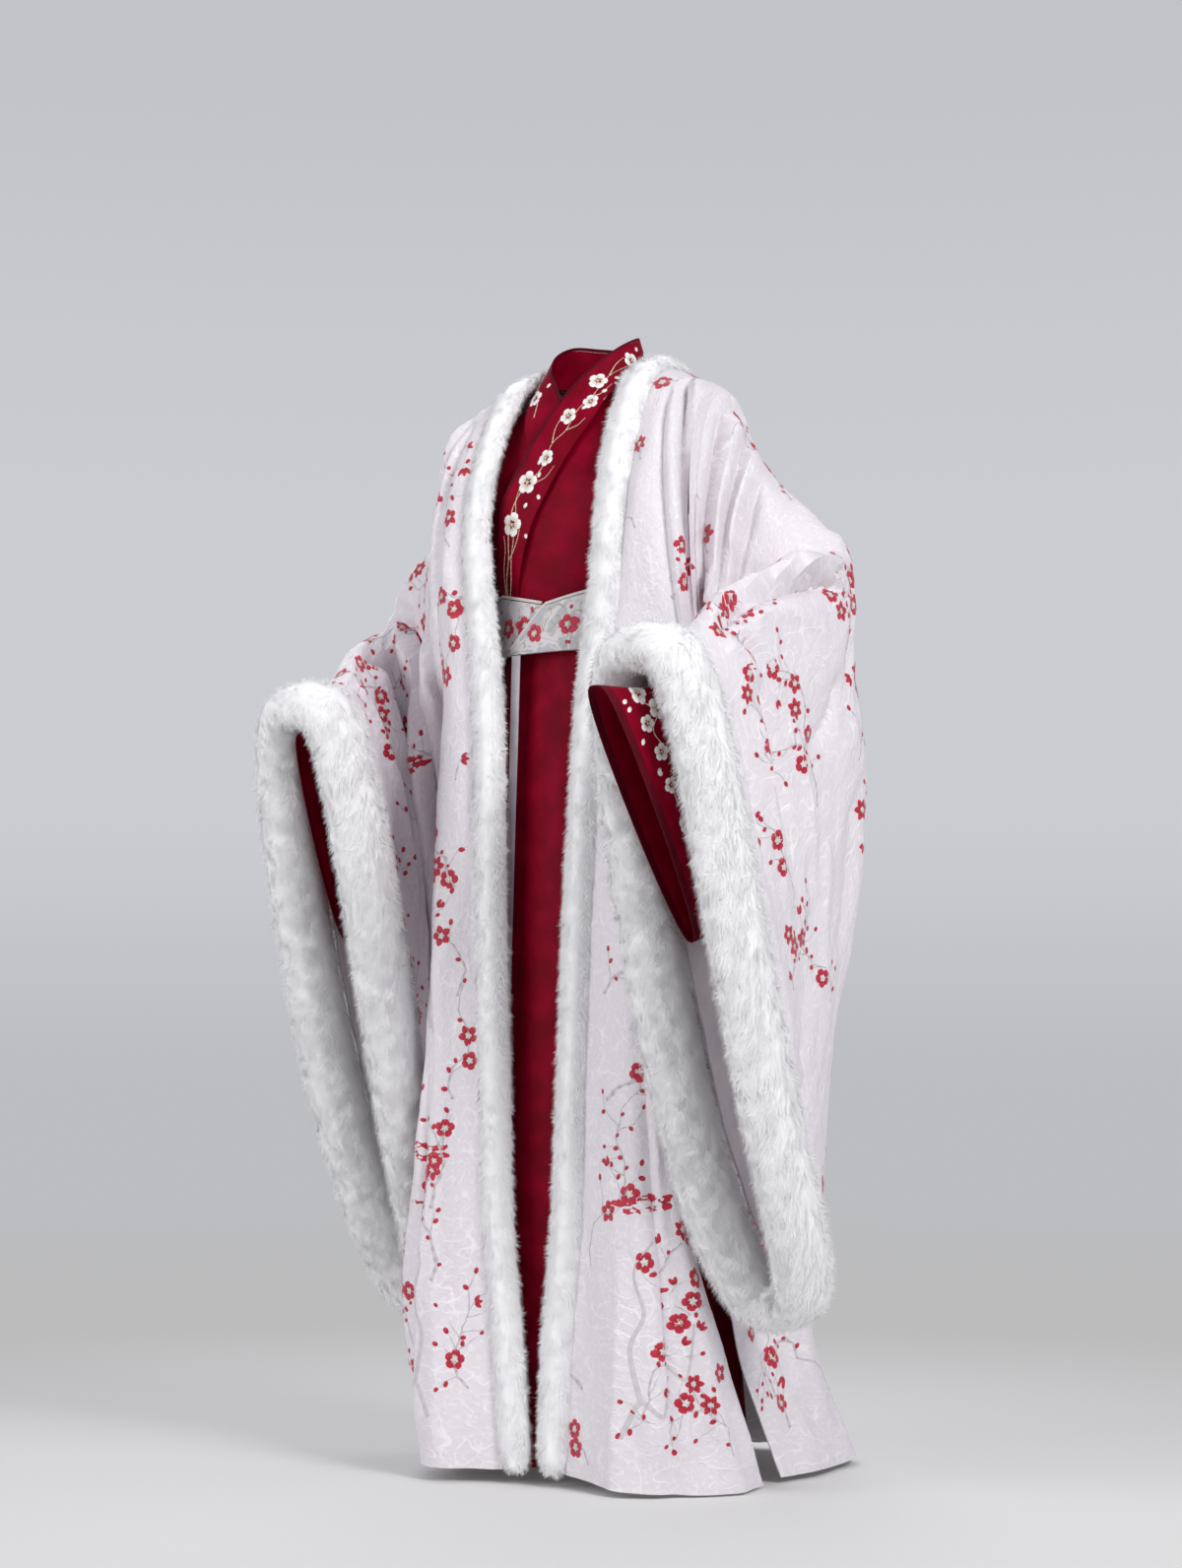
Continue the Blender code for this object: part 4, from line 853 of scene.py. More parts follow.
def plum_jacquard():
    """Pinkish-white satin with a tone-on-tone figure of scrolls and leaves that shines a little
    more than its ground, over a fine silky crinkle."""
    made, tree, shader = new_finish("plum_robe_jacquard", (0.84, 0.78, 0.83), 0.38, 0.12, 0.55)
    place = wire(tree, "ShaderNodeUVMap", uv_map="cloth").outputs["UV"]
    drift = wire(tree, "ShaderNodeTexNoise", {"Vector": place, "Scale": 22.0, "Detail": 1.0})
    bend = wire(tree, "ShaderNodeVectorMath", {0: drift.outputs["Color"], 1: (0.035, 0.035, 0.0),
                                               2: place}, operation="MULTIPLY_ADD").outputs[0]
    vine = wire(tree, "ShaderNodeTexNoise", {"Vector": bend, "Scale": 40.0, "Detail": 0.0})
    off = wire(tree, "ShaderNodeMath", {0: vine.outputs["Fac"], 1: 0.5}, operation="SUBTRACT")
    off = wire(tree, "ShaderNodeMath", {0: off.outputs[0]}, operation="ABSOLUTE").outputs[0]
    line = ranged(tree, off, 0.008, 0.034, 1.0, 0.0)
    leaf = wire(tree, "ShaderNodeTexVoronoi", {"Vector": bend, "Scale": 90.0, "Smoothness": 0.3},
                feature="SMOOTH_F1", voronoi_dimensions="2D")
    leaf = ranged(tree, leaf.outputs["Distance"], 0.16, 0.30, 0.45, 0.0)
    figure = wire(tree, "ShaderNodeMath", {0: line, 1: leaf}, operation="MAXIMUM").outputs[0]
    cloud = wire(tree, "ShaderNodeTexNoise", {"Vector": place, "Scale": 8.0, "Detail": 4.0})
    tone = mixed(tree, cloud.outputs["Fac"], (0.725, 0.668, 0.718), (0.830, 0.780, 0.823))
    tree.links.new(mixed(tree, ranged(tree, figure, 0.0, 1.0, 0.0, 0.70), tone, (0.93, 0.90, 0.925)),
                   shader.inputs["Base Color"])
    tree.links.new(ranged(tree, figure, 0.0, 1.0, 0.42, 0.26), shader.inputs["Roughness"])
    raised = wire(tree, "ShaderNodeBump", {"Height": figure, "Strength": 0.5,
                                           "Distance": 0.0007}).outputs["Normal"]
    normal = crinkle(tree, place, [(15.0, 0.75), (38.0, 0.55), (110.0, 0.40), (420.0, 0.16)], 0.0036, raised)
    tree.links.new(normal, shader.inputs["Normal"])
    return made


JACQUARD = plum_jacquard()


def armhole(q, x, top, armpit, half_depth):
    """Upright loop from the armpit up the back to the top and down the front: the height goes as
    half of 1 - cos, the depth as a blunt sin."""
    turn = 2 * np.pi * np.asarray(q, float)
    z = armpit + (top - armpit) * (1 - np.cos(turn)) / 2
    y = np.sign(np.sin(turn)) * np.abs(np.sin(turn)) ** 0.8 * half_depth
    return np.stack([np.full_like(z, x), y, z], axis=-1)


def narrowed(table, side):
    """A table's rows with their x drawn in, and their hem lifted, on the narrower side."""
    factor, lift = ARMHOLES[side][3:]
    return [
        (t, x * factor, y, z + lift * max(0.0, (LIFT_BELOW - z) / (LIFT_BELOW - HEM)))
        for t, x, y, z in table
    ]


def outer_side_edge(t, side):
    """Outer edge of a body half: front slit, side seam, armhole, side seam, back slit."""
    x, top, half_depth = ARMHOLES[side][:3]
    up = armhole(np.linspace(1.0, 0.5, 7), x, top, ARMPIT, half_depth)
    down = armhole(np.linspace(0.5, 0.0, 8)[1:], x, top, ARMPIT, half_depth)
    up[0, 1] = -SIDE_SEAM_Y
    down[-1, 1] = SIDE_SEAM_Y
    rows = narrowed(SLIT_FRONT, side)
    rows += [(a, *p) for a, p in zip(np.linspace(ARMHOLE_FROM, ARMHOLE_PEAK, 7), up)]
    rows += [(a, *p) for a, p in zip(np.linspace(ARMHOLE_PEAK, ARMHOLE_TO, 8)[1:], down)]
    rows += narrowed(SLIT_BACK, side)
    places = np.interp(t, [ARMHOLE_FROM, ARMHOLE_PEAK, ARMHOLE_TO], [1.0, 0.5, 0.0])
    hole = armhole(places, x, top, ARMPIT, half_depth)
    within = ((t > ARMHOLE_FROM) & (t < ARMHOLE_TO))[:, None]
    return np.where(within, hole, through(rows, t))


def fur_line(t, side):
    """Middle line of the fur edge and the direction of its width, on one side."""
    row = through(FUR_EDGE, t)
    x = row[..., 0] if side > 0 else row[..., 1]
    return np.stack([x, row[..., 2], row[..., 3]], axis=-1), unit(row[..., 4:7])


def fold_height(u, t, folds):
    """Height of soft folds: sin squared along each, a bell across it."""
    height = np.zeros(np.broadcast(u, t).shape)
    for start, end, place, out, width in folds:
        along = np.clip((t - start) / (end - start), 0, 1)
        height = height + out * np.sin(np.pi * along) ** 2 * np.exp(-(((u - place) / width) ** 2))
    return height


def on_cloth(points, j, i, around):
    """Points of a grid at fractional places along it (j) and across it (i)."""
    n, m = points.shape[:2]
    i = np.mod(i, n) if around else np.clip(i, 0, n - 1.000001)
    j = np.clip(j, 0, m - 1.000001)
    i0, j0 = i.astype(int) % n, j.astype(int)
    i1 = (i0 + 1) % n
    fi, fj = (i - np.floor(i))[..., None], (j - j0)[..., None]
    return (
        (points[i0, j0] * (1 - fj) + points[i0, j0 + 1] * fj) * (1 - fi)
        + (points[i1, j0] * (1 - fj) + points[i1, j0 + 1] * fj) * fi
    )


def crease_height(points, t, u, creases, around=False):
    """Height of creases: each rises quickly along a curve through its three places and dies away
    slowly, and falls off across it as exp of minus (distance / width) to the power crisp.  A
    lapped fold (crisp 0) stands out to the left of its way, seen from outside, and is sunk to the
    right."""
    height = np.zeros(points.shape[:2])
    normal = outward(points, around, points.mean(axis=0, keepdims=True) if around else (0, 0, -0.7))
    step = np.linspace(0, 1, 13)
    across = np.append(u, u[0] + 1) if around else u
    for a0, c0, a1, c1, a2, c2, out, width, crisp in creases:
        shares = (2 * step - 1) * (step - 1), 4 * step * (1 - step), step * (2 * step - 1)
        a = shares[0] * a0 + shares[1] * a1 + shares[2] * a2
        c = shares[0] * c0 + shares[1] * c1 + shares[2] * c2
        j = np.interp(a, t, np.arange(len(t)))
        i = np.interp(np.mod(c, 1) if around else c, across, np.arange(len(across)))
        line = on_cloth(points, j, i, around)
        run = np.diff(line, axis=0)
        gap = points[:, :, None] - line[:-1]
        share = np.clip(np.sum(gap * run, -1) / np.sum(run * run, -1), 0, 1)
        far = np.linalg.norm(gap - share[..., None] * run, axis=-1)
        near = np.argmin(far, axis=-1)[..., None]
        along = (near + np.take_along_axis(share, near, -1))[..., 0] / len(run)
        far = np.take_along_axis(far, near, -1)[..., 0]
        fade = ease(along / 0.2) * ease((1 - along) / (0.5 if crisp else 0.3))
        if crisp:
            height += out * fade * np.exp(-((far / width) ** crisp))
        else:
            offset = np.take_along_axis(gap, near[..., None], 2)[:, :, 0]
            left = np.sum(np.cross(run[near[..., 0]], offset) * normal, -1) > 0
            lip = np.where(left, np.exp(-((far / width / 2.6) ** 2)), -np.exp(-((far / width / 1.2) ** 2)))
            height += out * fade * lip * np.tanh(far / width * 3)
    return height


def outer_body(side):
    """Front and back of one side in a single length of cloth, folded over the shoulder."""
    t = np.unique(np.concatenate([
        np.linspace(0.0, ARMHOLE_FROM, 80), np.linspace(ARMHOLE_FROM, 1.0, 60),
        np.linspace(1.0, ARMHOLE_TO, 24), np.linspace(ARMHOLE_TO, 2.0, 66),
    ]))
    u = np.linspace(0, 1, 78)
    lean = through(narrowed(LEAN, side), t)
    path, wide = fur_line(np.minimum(t, 1.0), side)
    seam = through(CENTRE_BACK, np.maximum(t, 1.0))
    centre = np.stack([np.full_like(t, SEAM / 2), seam[:, 0], seam[:, 1]], axis=-1)
    tucked = (UNDER_FUR + FUR_GAP) * ease((1.0 - t) / 0.06)
    beside_fur = path + wide * (FUR_HALF_WIDTH + FUR_GAP - tucked)[:, None]
    inner = np.where((t < 1.0)[:, None], beside_fur, centre)
    points = rows_of_cloth(inner, lean, outer_side_edge(t, side), u)
    middle = np.array([0.0, 0.0, -0.7])
    folds = fold_height(u[:, None], t[None, :], BODY_FOLDS)
    points = points + outward(points, False, middle) * folds[..., None]
    by_armhole = ease((t - 0.47) / 0.05) * ease((1.37 - t) / 0.05)
    free = 1 - by_armhole[None] * (1 - ease((1 - u) / 0.07))[:, None]
    inner_hold = ease(u / 0.05)[:, None]
    creases = crease_height(points, t, u, BODY_CREASES[side] + BACK_CREASES)
    creases = creases + 0.0026 * ripples(points, 41 + side, 0.10, 0.34, (1, 1, 0.35))
    creases = creases + 0.0011 * ripples(points, 43 + side, 0.030, 0.08, (1, 1, 0.5))
    points = points + outward(points, False, middle) * (creases * free * inner_hold)[..., None]
    at_armhole = (t >= ARMHOLE_FROM - 0.001) & (t <= ARMHOLE_TO + 0.001)
    on_seam = t >= 0.999
    below_front, below_back = t < ARMHOLE_FROM + 0.02, t > ARMHOLE_TO - 0.02

    def hold(sides):
        above = sides[..., 2] > ARMPIT - 0.03
        inner_face = np.array([0.0, OUTER_CLOTH])[:, None, None]
        inside = np.minimum(sides[..., 0], ARMHOLES[side][0] - SEAM / 2 - inner_face)
        sides[..., 0] = np.where(above, inside, sides[..., 0])
        sides[:, -1, at_armhole, 0] = ARMHOLES[side][0] - SEAM / 2
        sides[:, 0, on_seam, 0] = SEAM / 2
        near = sides[:, -1, below_front, 1]
        sides[:, -1, below_front, 1] = np.minimum(near, -SIDE_SEAM_Y / 2 + (t[below_front] < 0.1))
        near = sides[:, -1, below_back, 1]
        sides[:, -1, below_back, 1] = np.maximum(near, SIDE_SEAM_Y / 2 - (t[below_back] > 1.30))

    made, face = sew(named("outer_body", side), points, OUTER_CLOTH, JACQUARD,
                     False, middle, hold, side)
    return made, face, t, u


outer_bodies = {side: outer_body(side) for side in (1, -1)}

# ---------------------------------------------------------------------------------------------
# Outer sleeves
# Wide bag sleeves of the same jacquard, each one folded length seamed along its bottom, set into
# the armhole and hanging from the bent arm to a deep mouth.
SLEEVE_SWEEP = 0.075
SLEEVE_ROWS, SLEEVE_ROUND = 112, 204
OUTER_SLEEVE = {
    # s, top x, y, z, bottom x, y, z, angle, half width near the top, middle, bottom
    1: [
        (0.00, 0.225, 0.000, -0.002, 0.225, 0.000, -0.420, 90, 0.080, 0.080, 0.080),
        (0.10, 0.252, 0.010, -0.072, 0.238, 0.010, -0.490, 88, 0.068, 0.078, 0.060),
        (0.22, 0.293, 0.018, -0.134, 0.262, 0.024, -0.600, 80, 0.060, 0.076, 0.048),
        (0.34, 0.336, 0.024, -0.186, 0.292, 0.036, -0.740, 66, 0.058, 0.070, 0.040),
        (0.46, 0.366, 0.012, -0.232, 0.318, 0.038, -0.870, 50, 0.058, 0.068, 0.034),
        (0.58, 0.368, -0.048, -0.262, 0.330, 0.024, -0.980, 30, 0.054, 0.056, 0.032),
        (0.70, 0.356, -0.120, -0.292, 0.338, 0.000, -1.070, 14, 0.052, 0.040, 0.036),
        (0.84, 0.344, -0.205, -0.332, 0.342, -0.040, -1.145, 0, 0.062, 0.050, 0.050),
        (1.00, 0.332, -0.290, -0.382, 0.350, -0.090, -1.190, -10, 0.078, 0.062, 0.080),
    ],
    -1: [
        (0.00, 0.205, 0.000, -0.008, 0.205, 0.000, -0.420, 90, 0.066, 0.066, 0.066),
        (0.10, 0.222, 0.010, -0.098, 0.224, 0.010, -0.490, 88, 0.056, 0.062, 0.052),
        (0.22, 0.272, 0.018, -0.156, 0.254, 0.026, -0.600, 80, 0.052, 0.062, 0.042),
        (0.34, 0.322, 0.022, -0.216, 0.286, 0.046, -0.740, 66, 0.050, 0.056, 0.034),
        (0.46, 0.358, 0.008, -0.262, 0.312, 0.060, -0.880, 50, 0.050, 0.050, 0.030),
        (0.58, 0.364, -0.044, -0.294, 0.322, 0.066, -0.995, 36, 0.050, 0.046, 0.028),
        (0.70, 0.344, -0.108, -0.328, 0.326, 0.060, -1.085, 24, 0.054, 0.048, 0.030),
        (0.84, 0.308, -0.172, -0.368, 0.328, 0.040, -1.160, 12, 0.062, 0.054, 0.034),
        (1.00, 0.269, -0.236, -0.408, 0.315, 0.010, -1.198, 4, 0.069, 0.057, 0.044),
    ],
}
SLEEVE_FOLDS = [
    # s from, s to, q,    stands out, width
    (-0.10, 0.42, 0.84, -0.012, 0.035),
    (-0.10, 0.50, 0.76, 0.010, 0.035),
    (0.05, 0.60, 0.68, -0.008, 0.030),
    (-0.10, 0.50, 0.14, -0.012, 0.040),
    (-0.10, 0.60, 0.24, 0.012, 0.040),
    (0.10, 0.80, 0.34, -0.008, 0.035),
    (0.30, 0.95, 0.18, 0.008, 0.040),
    (0.35, 0.62, 0.62, -0.010, 0.030),
]
SLEEVE_CREASES = {
    1: [
        # s0, q0,   s1,   q1,   s2,   q2,   out,     width, crisp
        (0.03, 0.51, 0.070, 0.66, 0.03, 0.90, 0.0200, 0.010, 0),
        (0.10, 0.50, 0.145, 0.63, 0.09, 0.86, 0.0140, 0.010, 0),
        (0.20, 0.52, 0.230, 0.64, 0.16, 0.82, 0.0080, 0.012, 0),
        (0.93, 0.470, 0.72, 0.490, 0.46, 0.410, 0.0270, 0.012, 0),
        (0.66, 0.475, 0.58, 0.470, 0.44, 0.455, 0.0110, 0.009, 0),
        (0.84, 0.44, 0.70, 0.435, 0.56, 0.36, 0.0090, 0.014, 1.6),
        (0.36, 0.48, 0.42, 0.42, 0.52, 0.36, 0.0096, 0.018, 1.8),
        (0.44, 0.46, 0.49, 0.38, 0.58, 0.30, -0.0096, 0.014, 1.6),
        (0.92, 0.45, 0.88, 0.42, 0.83, 0.38, 0.0110, 0.008, 1.4),
        (0.90, 0.47, 0.85, 0.43, 0.79, 0.37, -0.0100, 0.008, 1.4),
        (0.86, 0.46, 0.81, 0.42, 0.75, 0.38, 0.0080, 0.008, 1.4),
        (0.84, 0.40, 0.81, 0.33, 0.79, 0.24, -0.0120, 0.010, 1.4),
        (0.88, 0.38, 0.86, 0.31, 0.84, 0.22, 0.0100, 0.010, 1.4),
        (0.76, 0.36, 0.72, 0.30, 0.70, 0.22, 0.0100, 0.011, 1.4),
        (0.55, 0.36, 0.62, 0.33, 0.74, 0.33, -0.0120, 0.011, 1.4),
        (0.95, 0.40, 0.93, 0.33, 0.92, 0.22, -0.0080, 0.009, 1.4),
        (0.64, 0.27, 0.67, 0.23, 0.71, 0.17, 0.0080, 0.016, 1.6),
        (0.50, 0.28, 0.58, 0.20, 0.66, 0.12, -0.0088, 0.018, 1.7),
        (0.36, 0.32, 0.44, 0.22, 0.54, 0.10, 0.0096, 0.022, 1.8),
        (0.78, 0.24, 0.86, 0.16, 0.94, 0.08, -0.0072, 0.020, 1.8),
        (0.96, 0.30, 0.955, 0.22, 0.95, 0.12, 0.0056, 0.016, 1.7),
        (0.20, 0.34, 0.28, 0.24, 0.36, 0.10, -0.0096, 0.020, 1.8),
        (0.08, 0.40, 0.16, 0.28, 0.24, 0.12, 0.0096, 0.018, 1.7),
        (0.02, 0.44, 0.07, 0.30, 0.12, 0.14, -0.0096, 0.014, 1.6),
        (0.20, 0.58, 0.28, 0.70, 0.34, 0.88, -0.0080, 0.016, 1.7),
        (0.30, 0.56, 0.38, 0.68, 0.46, 0.90, 0.0096, 0.018, 1.7),
        (0.46, 0.56, 0.52, 0.66, 0.60, 0.86, -0.0080, 0.016, 1.7),
        (0.62, 0.56, 0.70, 0.66, 0.80, 0.88, 0.0072, 0.018, 1.8),
        (0.80, 0.58, 0.88, 0.70, 0.95, 0.88, -0.0064, 0.018, 1.8),
    ],
    -1: [
        (0.48, 0.53, 0.30, 0.74, 0.42, 0.97, 0.0220, 0.012, 0),
        (0.66, 0.55, 0.50, 0.68, 0.55, 0.88, 0.0200, 0.012, 0),
        (0.76, 0.56, 0.62, 0.68, 0.66, 0.84, 0.0110, 0.010, 1.4),
        (0.90, 0.51, 0.85, 0.53, 0.76, 0.56, -0.0120, 0.010, 1.4),
        (0.46, 0.49, 0.54, 0.51, 0.60, 0.56, -0.0130, 0.011, 1.4),
        (0.24, 0.49, 0.36, 0.49, 0.46, 0.50, 0.0150, 0.050, 2.0),
        (0.92, 0.56, 0.88, 0.62, 0.86, 0.72, -0.0090, 0.009, 1.4),
        (0.80, 0.55, 0.76, 0.60, 0.74, 0.68, 0.0080, 0.009, 1.4),
        (0.24, 0.66, 0.29, 0.78, 0.33, 0.90, -0.0072, 0.014, 1.7),
        (0.03, 0.54, 0.070, 0.70, 0.03, 0.92, 0.0160, 0.010, 0),
        (0.12, 0.54, 0.170, 0.70, 0.13, 0.92, 0.0130, 0.011, 0),
        (0.68, 0.58, 0.74, 0.70, 0.80, 0.88, -0.0072, 0.014, 1.7),
        (0.78, 0.62, 0.86, 0.74, 0.92, 0.92, 0.0072, 0.014, 1.7),
        (0.60, 0.44, 0.66, 0.34, 0.74, 0.20, -0.0080, 0.016, 1.7),
        (0.40, 0.42, 0.48, 0.30, 0.58, 0.12, 0.0096, 0.018, 1.7),
        (0.24, 0.40, 0.32, 0.26, 0.42, 0.10, -0.0096, 0.018, 1.7),
        (0.08, 0.40, 0.16, 0.26, 0.24, 0.10, 0.0088, 0.016, 1.7),
        (0.80, 0.40, 0.86, 0.28, 0.92, 0.14, 0.0064, 0.016, 1.7),
    ],
}


def sleeve_surface(side, s, q):
    """The outer sleeve's cloth: its hanging loops, then its folds, then its creases."""
    points = hanging_loops(OUTER_SLEEVE[side], s, q, SLEEVE_SWEEP)
    middle = points.mean(axis=0, keepdims=True)
    folds = fold_height(q[:, None], s[None, :], SLEEVE_FOLDS) * ease(s / 0.06)
    points = points + outward(points, True, middle) * folds[..., None]
    hold = ease(s / 0.03)[None]
    height = crease_height(points, s, q, SLEEVE_CREASES[side], True)
    height = height + 0.0026 * ripples(points, 51 + side, 0.09, 0.30, (1, 1, 0.45))
    height = height + 0.0012 * ripples(points, 53 + side, 0.028, 0.08, (1, 1, 0.6))
    return points + outward(points, True, middle) * (height * hold)[..., None], middle


def outer_sleeve(side):
    """Bag sleeve from the armhole seam to the fur of its mouth."""
    s = np.linspace(0, 1, SLEEVE_ROWS)
    q = even_round(OUTER_SLEEVE[side], SLEEVE_ROUND, SLEEVE_SWEEP)
    points, middle = sleeve_surface(side, s, q)

    def hold(sides):
        inner_face = np.array([0.0, OUTER_CLOTH])[:, None, None]
        sides[..., 0] = np.maximum(sides[..., 0], ARMHOLES[side][0] + SEAM / 2 + inner_face)
        sides[:, :, 0, 0] = ARMHOLES[side][0] + SEAM / 2

    made, face = sew(named("outer_sleeve", side), points, OUTER_CLOTH, JACQUARD,
                     True, middle, hold, side)
    return made, face, s, q, points, middle


outer_sleeves = {side: outer_sleeve(side) for side in (1, -1)}

# ---------------------------------------------------------------------------------------------
# Sleeve linings
# White satin facing that lines each mouth, just inside the outer cloth.
LINING_FROM = 0.7
LINING_INSET = 0.0030
LINING_CLOTH = 0.0010
LINING = silk_satin("white_satin_lining", (0.84, 0.79, 0.82), (0.76, 0.70, 0.74), 0.40, sheen=0.2)


def sleeve_lining(side):
    """Facing inside the sleeve's mouth, on the same folds, at every third place round it."""
    _, _, s, _, points, middle = outer_sleeves[side]
    points = points - outward(points, True, middle) * LINING_INSET
    last = s >= LINING_FROM
    return sew(named("sleeve_lining", side), points[::3, last], LINING_CLOTH, LINING,
               True, middle[:, last], None, side)[0]


sleeve_linings = {side: sleeve_lining(side) for side in (1, -1)}

# ---------------------------------------------------------------------------------------------
# Fur edges
# Dense soft white fur: a long roll down each front and round the neck, and a deep cuff round each
# sleeve's mouth.  Each is a padded roll with its hairs set into it, lying outwards and down.
CUFF_FUR_HALF_WIDTH = 0.048
CUFF_FUR_HALF_THICK = 0.033
CUFF_FUR_OUT = 0.008
FRONT_HAIRS, CUFF_HAIRS = 54000, 92000
FRONT_HAIR, CUFF_HAIR = 0.012, 0.018
HAIR_WIDTH = 0.0010
HAIR_LOFT = 0.18
FUR_ROLL_SIDES = 20


def white_fur():
    """White fur: near-white, a little greyer in soft patches, with a matt bloom."""
    made, tree, shader = new_finish("white_fur_pile", (0.95, 0.945, 0.95), 0.95, 0.3)
    place = wire(tree, "ShaderNodeTexCoord").outputs["Object"]
    cloud = wire(tree, "ShaderNodeTexNoise", {"Vector": place, "Scale": 60.0, "Detail": 4.0})
    tree.links.new(mixed(tree, ranged(tree, cloud.outputs["Fac"], 0.35, 0.62), (0.94, 0.935, 0.945),
                         (0.985, 0.98, 0.985)), shader.inputs["Base Color"])
    return made


WHITE_FUR = white_fur()


def roll_frame(path, wide, closed):
    """Tangent, width and thickness directions along a path, square to one another."""
    if closed:
        tangent = unit(np.roll(path, -1, axis=0) - np.roll(path, 1, axis=0))
    else:
        tangent = unit(np.gradient(path, axis=0))
    wide = unit(wide - tangent * np.sum(wide * tangent, axis=-1, keepdims=True))
    return tangent, wide, np.cross(tangent, wide)


def fur_roll(name, path, wide, half_width, half_thick, hair, hairs, seed, side, closed=False):
    """Padded roll, an oval carried along its path with soft lumps, and its hairs: each a fine
    blade combed down and off the roll's crest, lying over those below it and leaning with its clump."""
    rng = np.random.default_rng(seed)
    tangent, wide, thick = roll_frame(path, wide, closed)
    body_wide, body_thick = half_width - hair * HAIR_LOFT, half_thick - hair * HAIR_LOFT
    count = len(path)
    turn = np.linspace(0, 2 * np.pi, FUR_ROLL_SIDES, endpoint=False)[None, :, None]
    ring = np.cos(turn) * wide[:, None] * body_wide + np.sin(turn) * thick[:, None] * body_thick
    size = np.ones(count)
    if not closed:
        size = 0.30 + 0.70 * np.sqrt(1 - (1 - np.clip(np.arange(count) / 5, 0, 1)) ** 2)
    base = path[:, None] + ring * size[:, None, None]
    base = base + unit(ring) * 0.0012 * ripples(base, seed, 0.015, 0.05)[..., None]
    points = [base.reshape(-1, 3)]
    normals = [unit(base - path[:, None]).reshape(-1, 3)]
    faces = roll_faces(count, FUR_ROLL_SIDES, closed)
    total = count * FUR_ROLL_SIDES
    if not closed:
        points.append(path[[0, -1]])
        normals.append(np.stack([-tangent[0], tangent[-1]]))
        total += 2
    place = rng.uniform(0, count if closed else count - 1, hairs)
    lower, share = place.astype(int) % count, (place % 1)[:, None]
    upper = (lower + 1) % count
    spot = rng.uniform(0, 2 * np.pi, hairs)[:, None]

    def along(values):
        return values[lower] * (1 - share) + values[upper] * share

    w, h, run = unit(along(wide)), unit(along(thick)), unit(along(tangent))
    shrink = along(size[:, None])
    normal = unit(w * np.cos(spot) / body_wide + h * np.sin(spot) / body_thick)
    root = along(path) + (w * np.cos(spot) * body_wide + h * np.sin(spot) * body_thick) * shrink
    clump = np.stack([ripples(root, seed + j, 0.010, 0.035, count=18) for j in (1, 2, 3)], -1)
    down = np.array([0.0, 0.0, -1.0])
    combed = down * 0.75 + w * np.cos(spot) * 0.55 + clump * 0.45 + rng.normal(size=(hairs, 3)) * 0.22
    combed = unit(combed - normal * np.sum(combed * normal, -1, keepdims=True))
    lift = rng.uniform(0.22, 0.75, hairs)[:, None]
    way = unit(combed + normal * lift)
    length = (hair * rng.uniform(0.55, 1.05, hairs))[:, None]
    root = root - normal * 0.0010
    tip = root + way * length
    across = unit(np.cross(way, normal) + rng.normal(size=(hairs, 3)) * 0.15)
    across *= np.sign(np.sum(np.cross(across, way) * normal, -1, keepdims=True))
    half = HAIR_WIDTH / 2 * rng.uniform(0.7, 1.3, hairs)[:, None]
    strands = np.stack([root - across * half, root + across * half, tip], axis=1)
    faces.append(total + 3 * np.arange(hairs)[:, None] + np.array([[0, 1, 2]]))
    points.append(strands.reshape(-1, 3))
    soft = unit(normal + clump * 0.10 + np.array([0.0, 0.0, 0.20]))
    normals.append(np.repeat(soft, 3, axis=0))
    mesh = solid_mesh(name, on_side(np.concatenate(points), side), np.concatenate(faces)[:, ::side])
    normals = on_side(np.concatenate(normals), side)
    mesh.normals_split_custom_set_from_vertices(normals.astype(np.float32).tolist())
    return put_on(name, mesh, WHITE_FUR, [name])


def fur_front(side):
    """Fur roll of one front edge, from the hem over the shoulder to the centre back."""
    t = np.linspace(0, 1, 260)
    path, wide = fur_line(t, side)
    return fur_roll(named("fur_front", side), path, wide, FUR_HALF_WIDTH, FUR_HALF_THICK,
                    FRONT_HAIR, FRONT_HAIRS, 61 + side, side)


def fur_cuff(side):
    """Fur roll round the sleeve's mouth, standing ahead of its edge."""
    q = even_round(OUTER_SLEEVE[side], 240, SLEEVE_SWEEP)
    edge = hanging_loops(OUTER_SLEEVE[side], np.array([1.0]), q, SLEEVE_SWEEP)[:, 0]
    corners = hanging_loops(OUTER_SLEEVE[side], np.array([1.0]), np.arange(4) / 4, SLEEVE_SWEEP)[:, 0]
    ahead = unit(np.cross(corners[1] - corners[3], corners[2] - corners[0]))
    along = unit(np.roll(edge, -1, axis=0) - np.roll(edge, 1, axis=0))
    out = unit(np.cross(ahead, along))
    out = out * np.sign(np.sum(out * (edge - edge.mean(axis=0))))
    path = edge + ahead * (CUFF_FUR_HALF_WIDTH + FUR_GAP) + out * CUFF_FUR_OUT
    return fur_roll(named("fur_cuff", side), path, np.broadcast_to(ahead, path.shape),
                    CUFF_FUR_HALF_WIDTH, CUFF_FUR_HALF_THICK, CUFF_HAIR, CUFF_HAIRS, 71 + side,
                    side, True)


fur_fronts = {side: fur_front(side) for side in (1, -1)}
fur_cuffs = {side: fur_cuff(side) for side in (1, -1)}

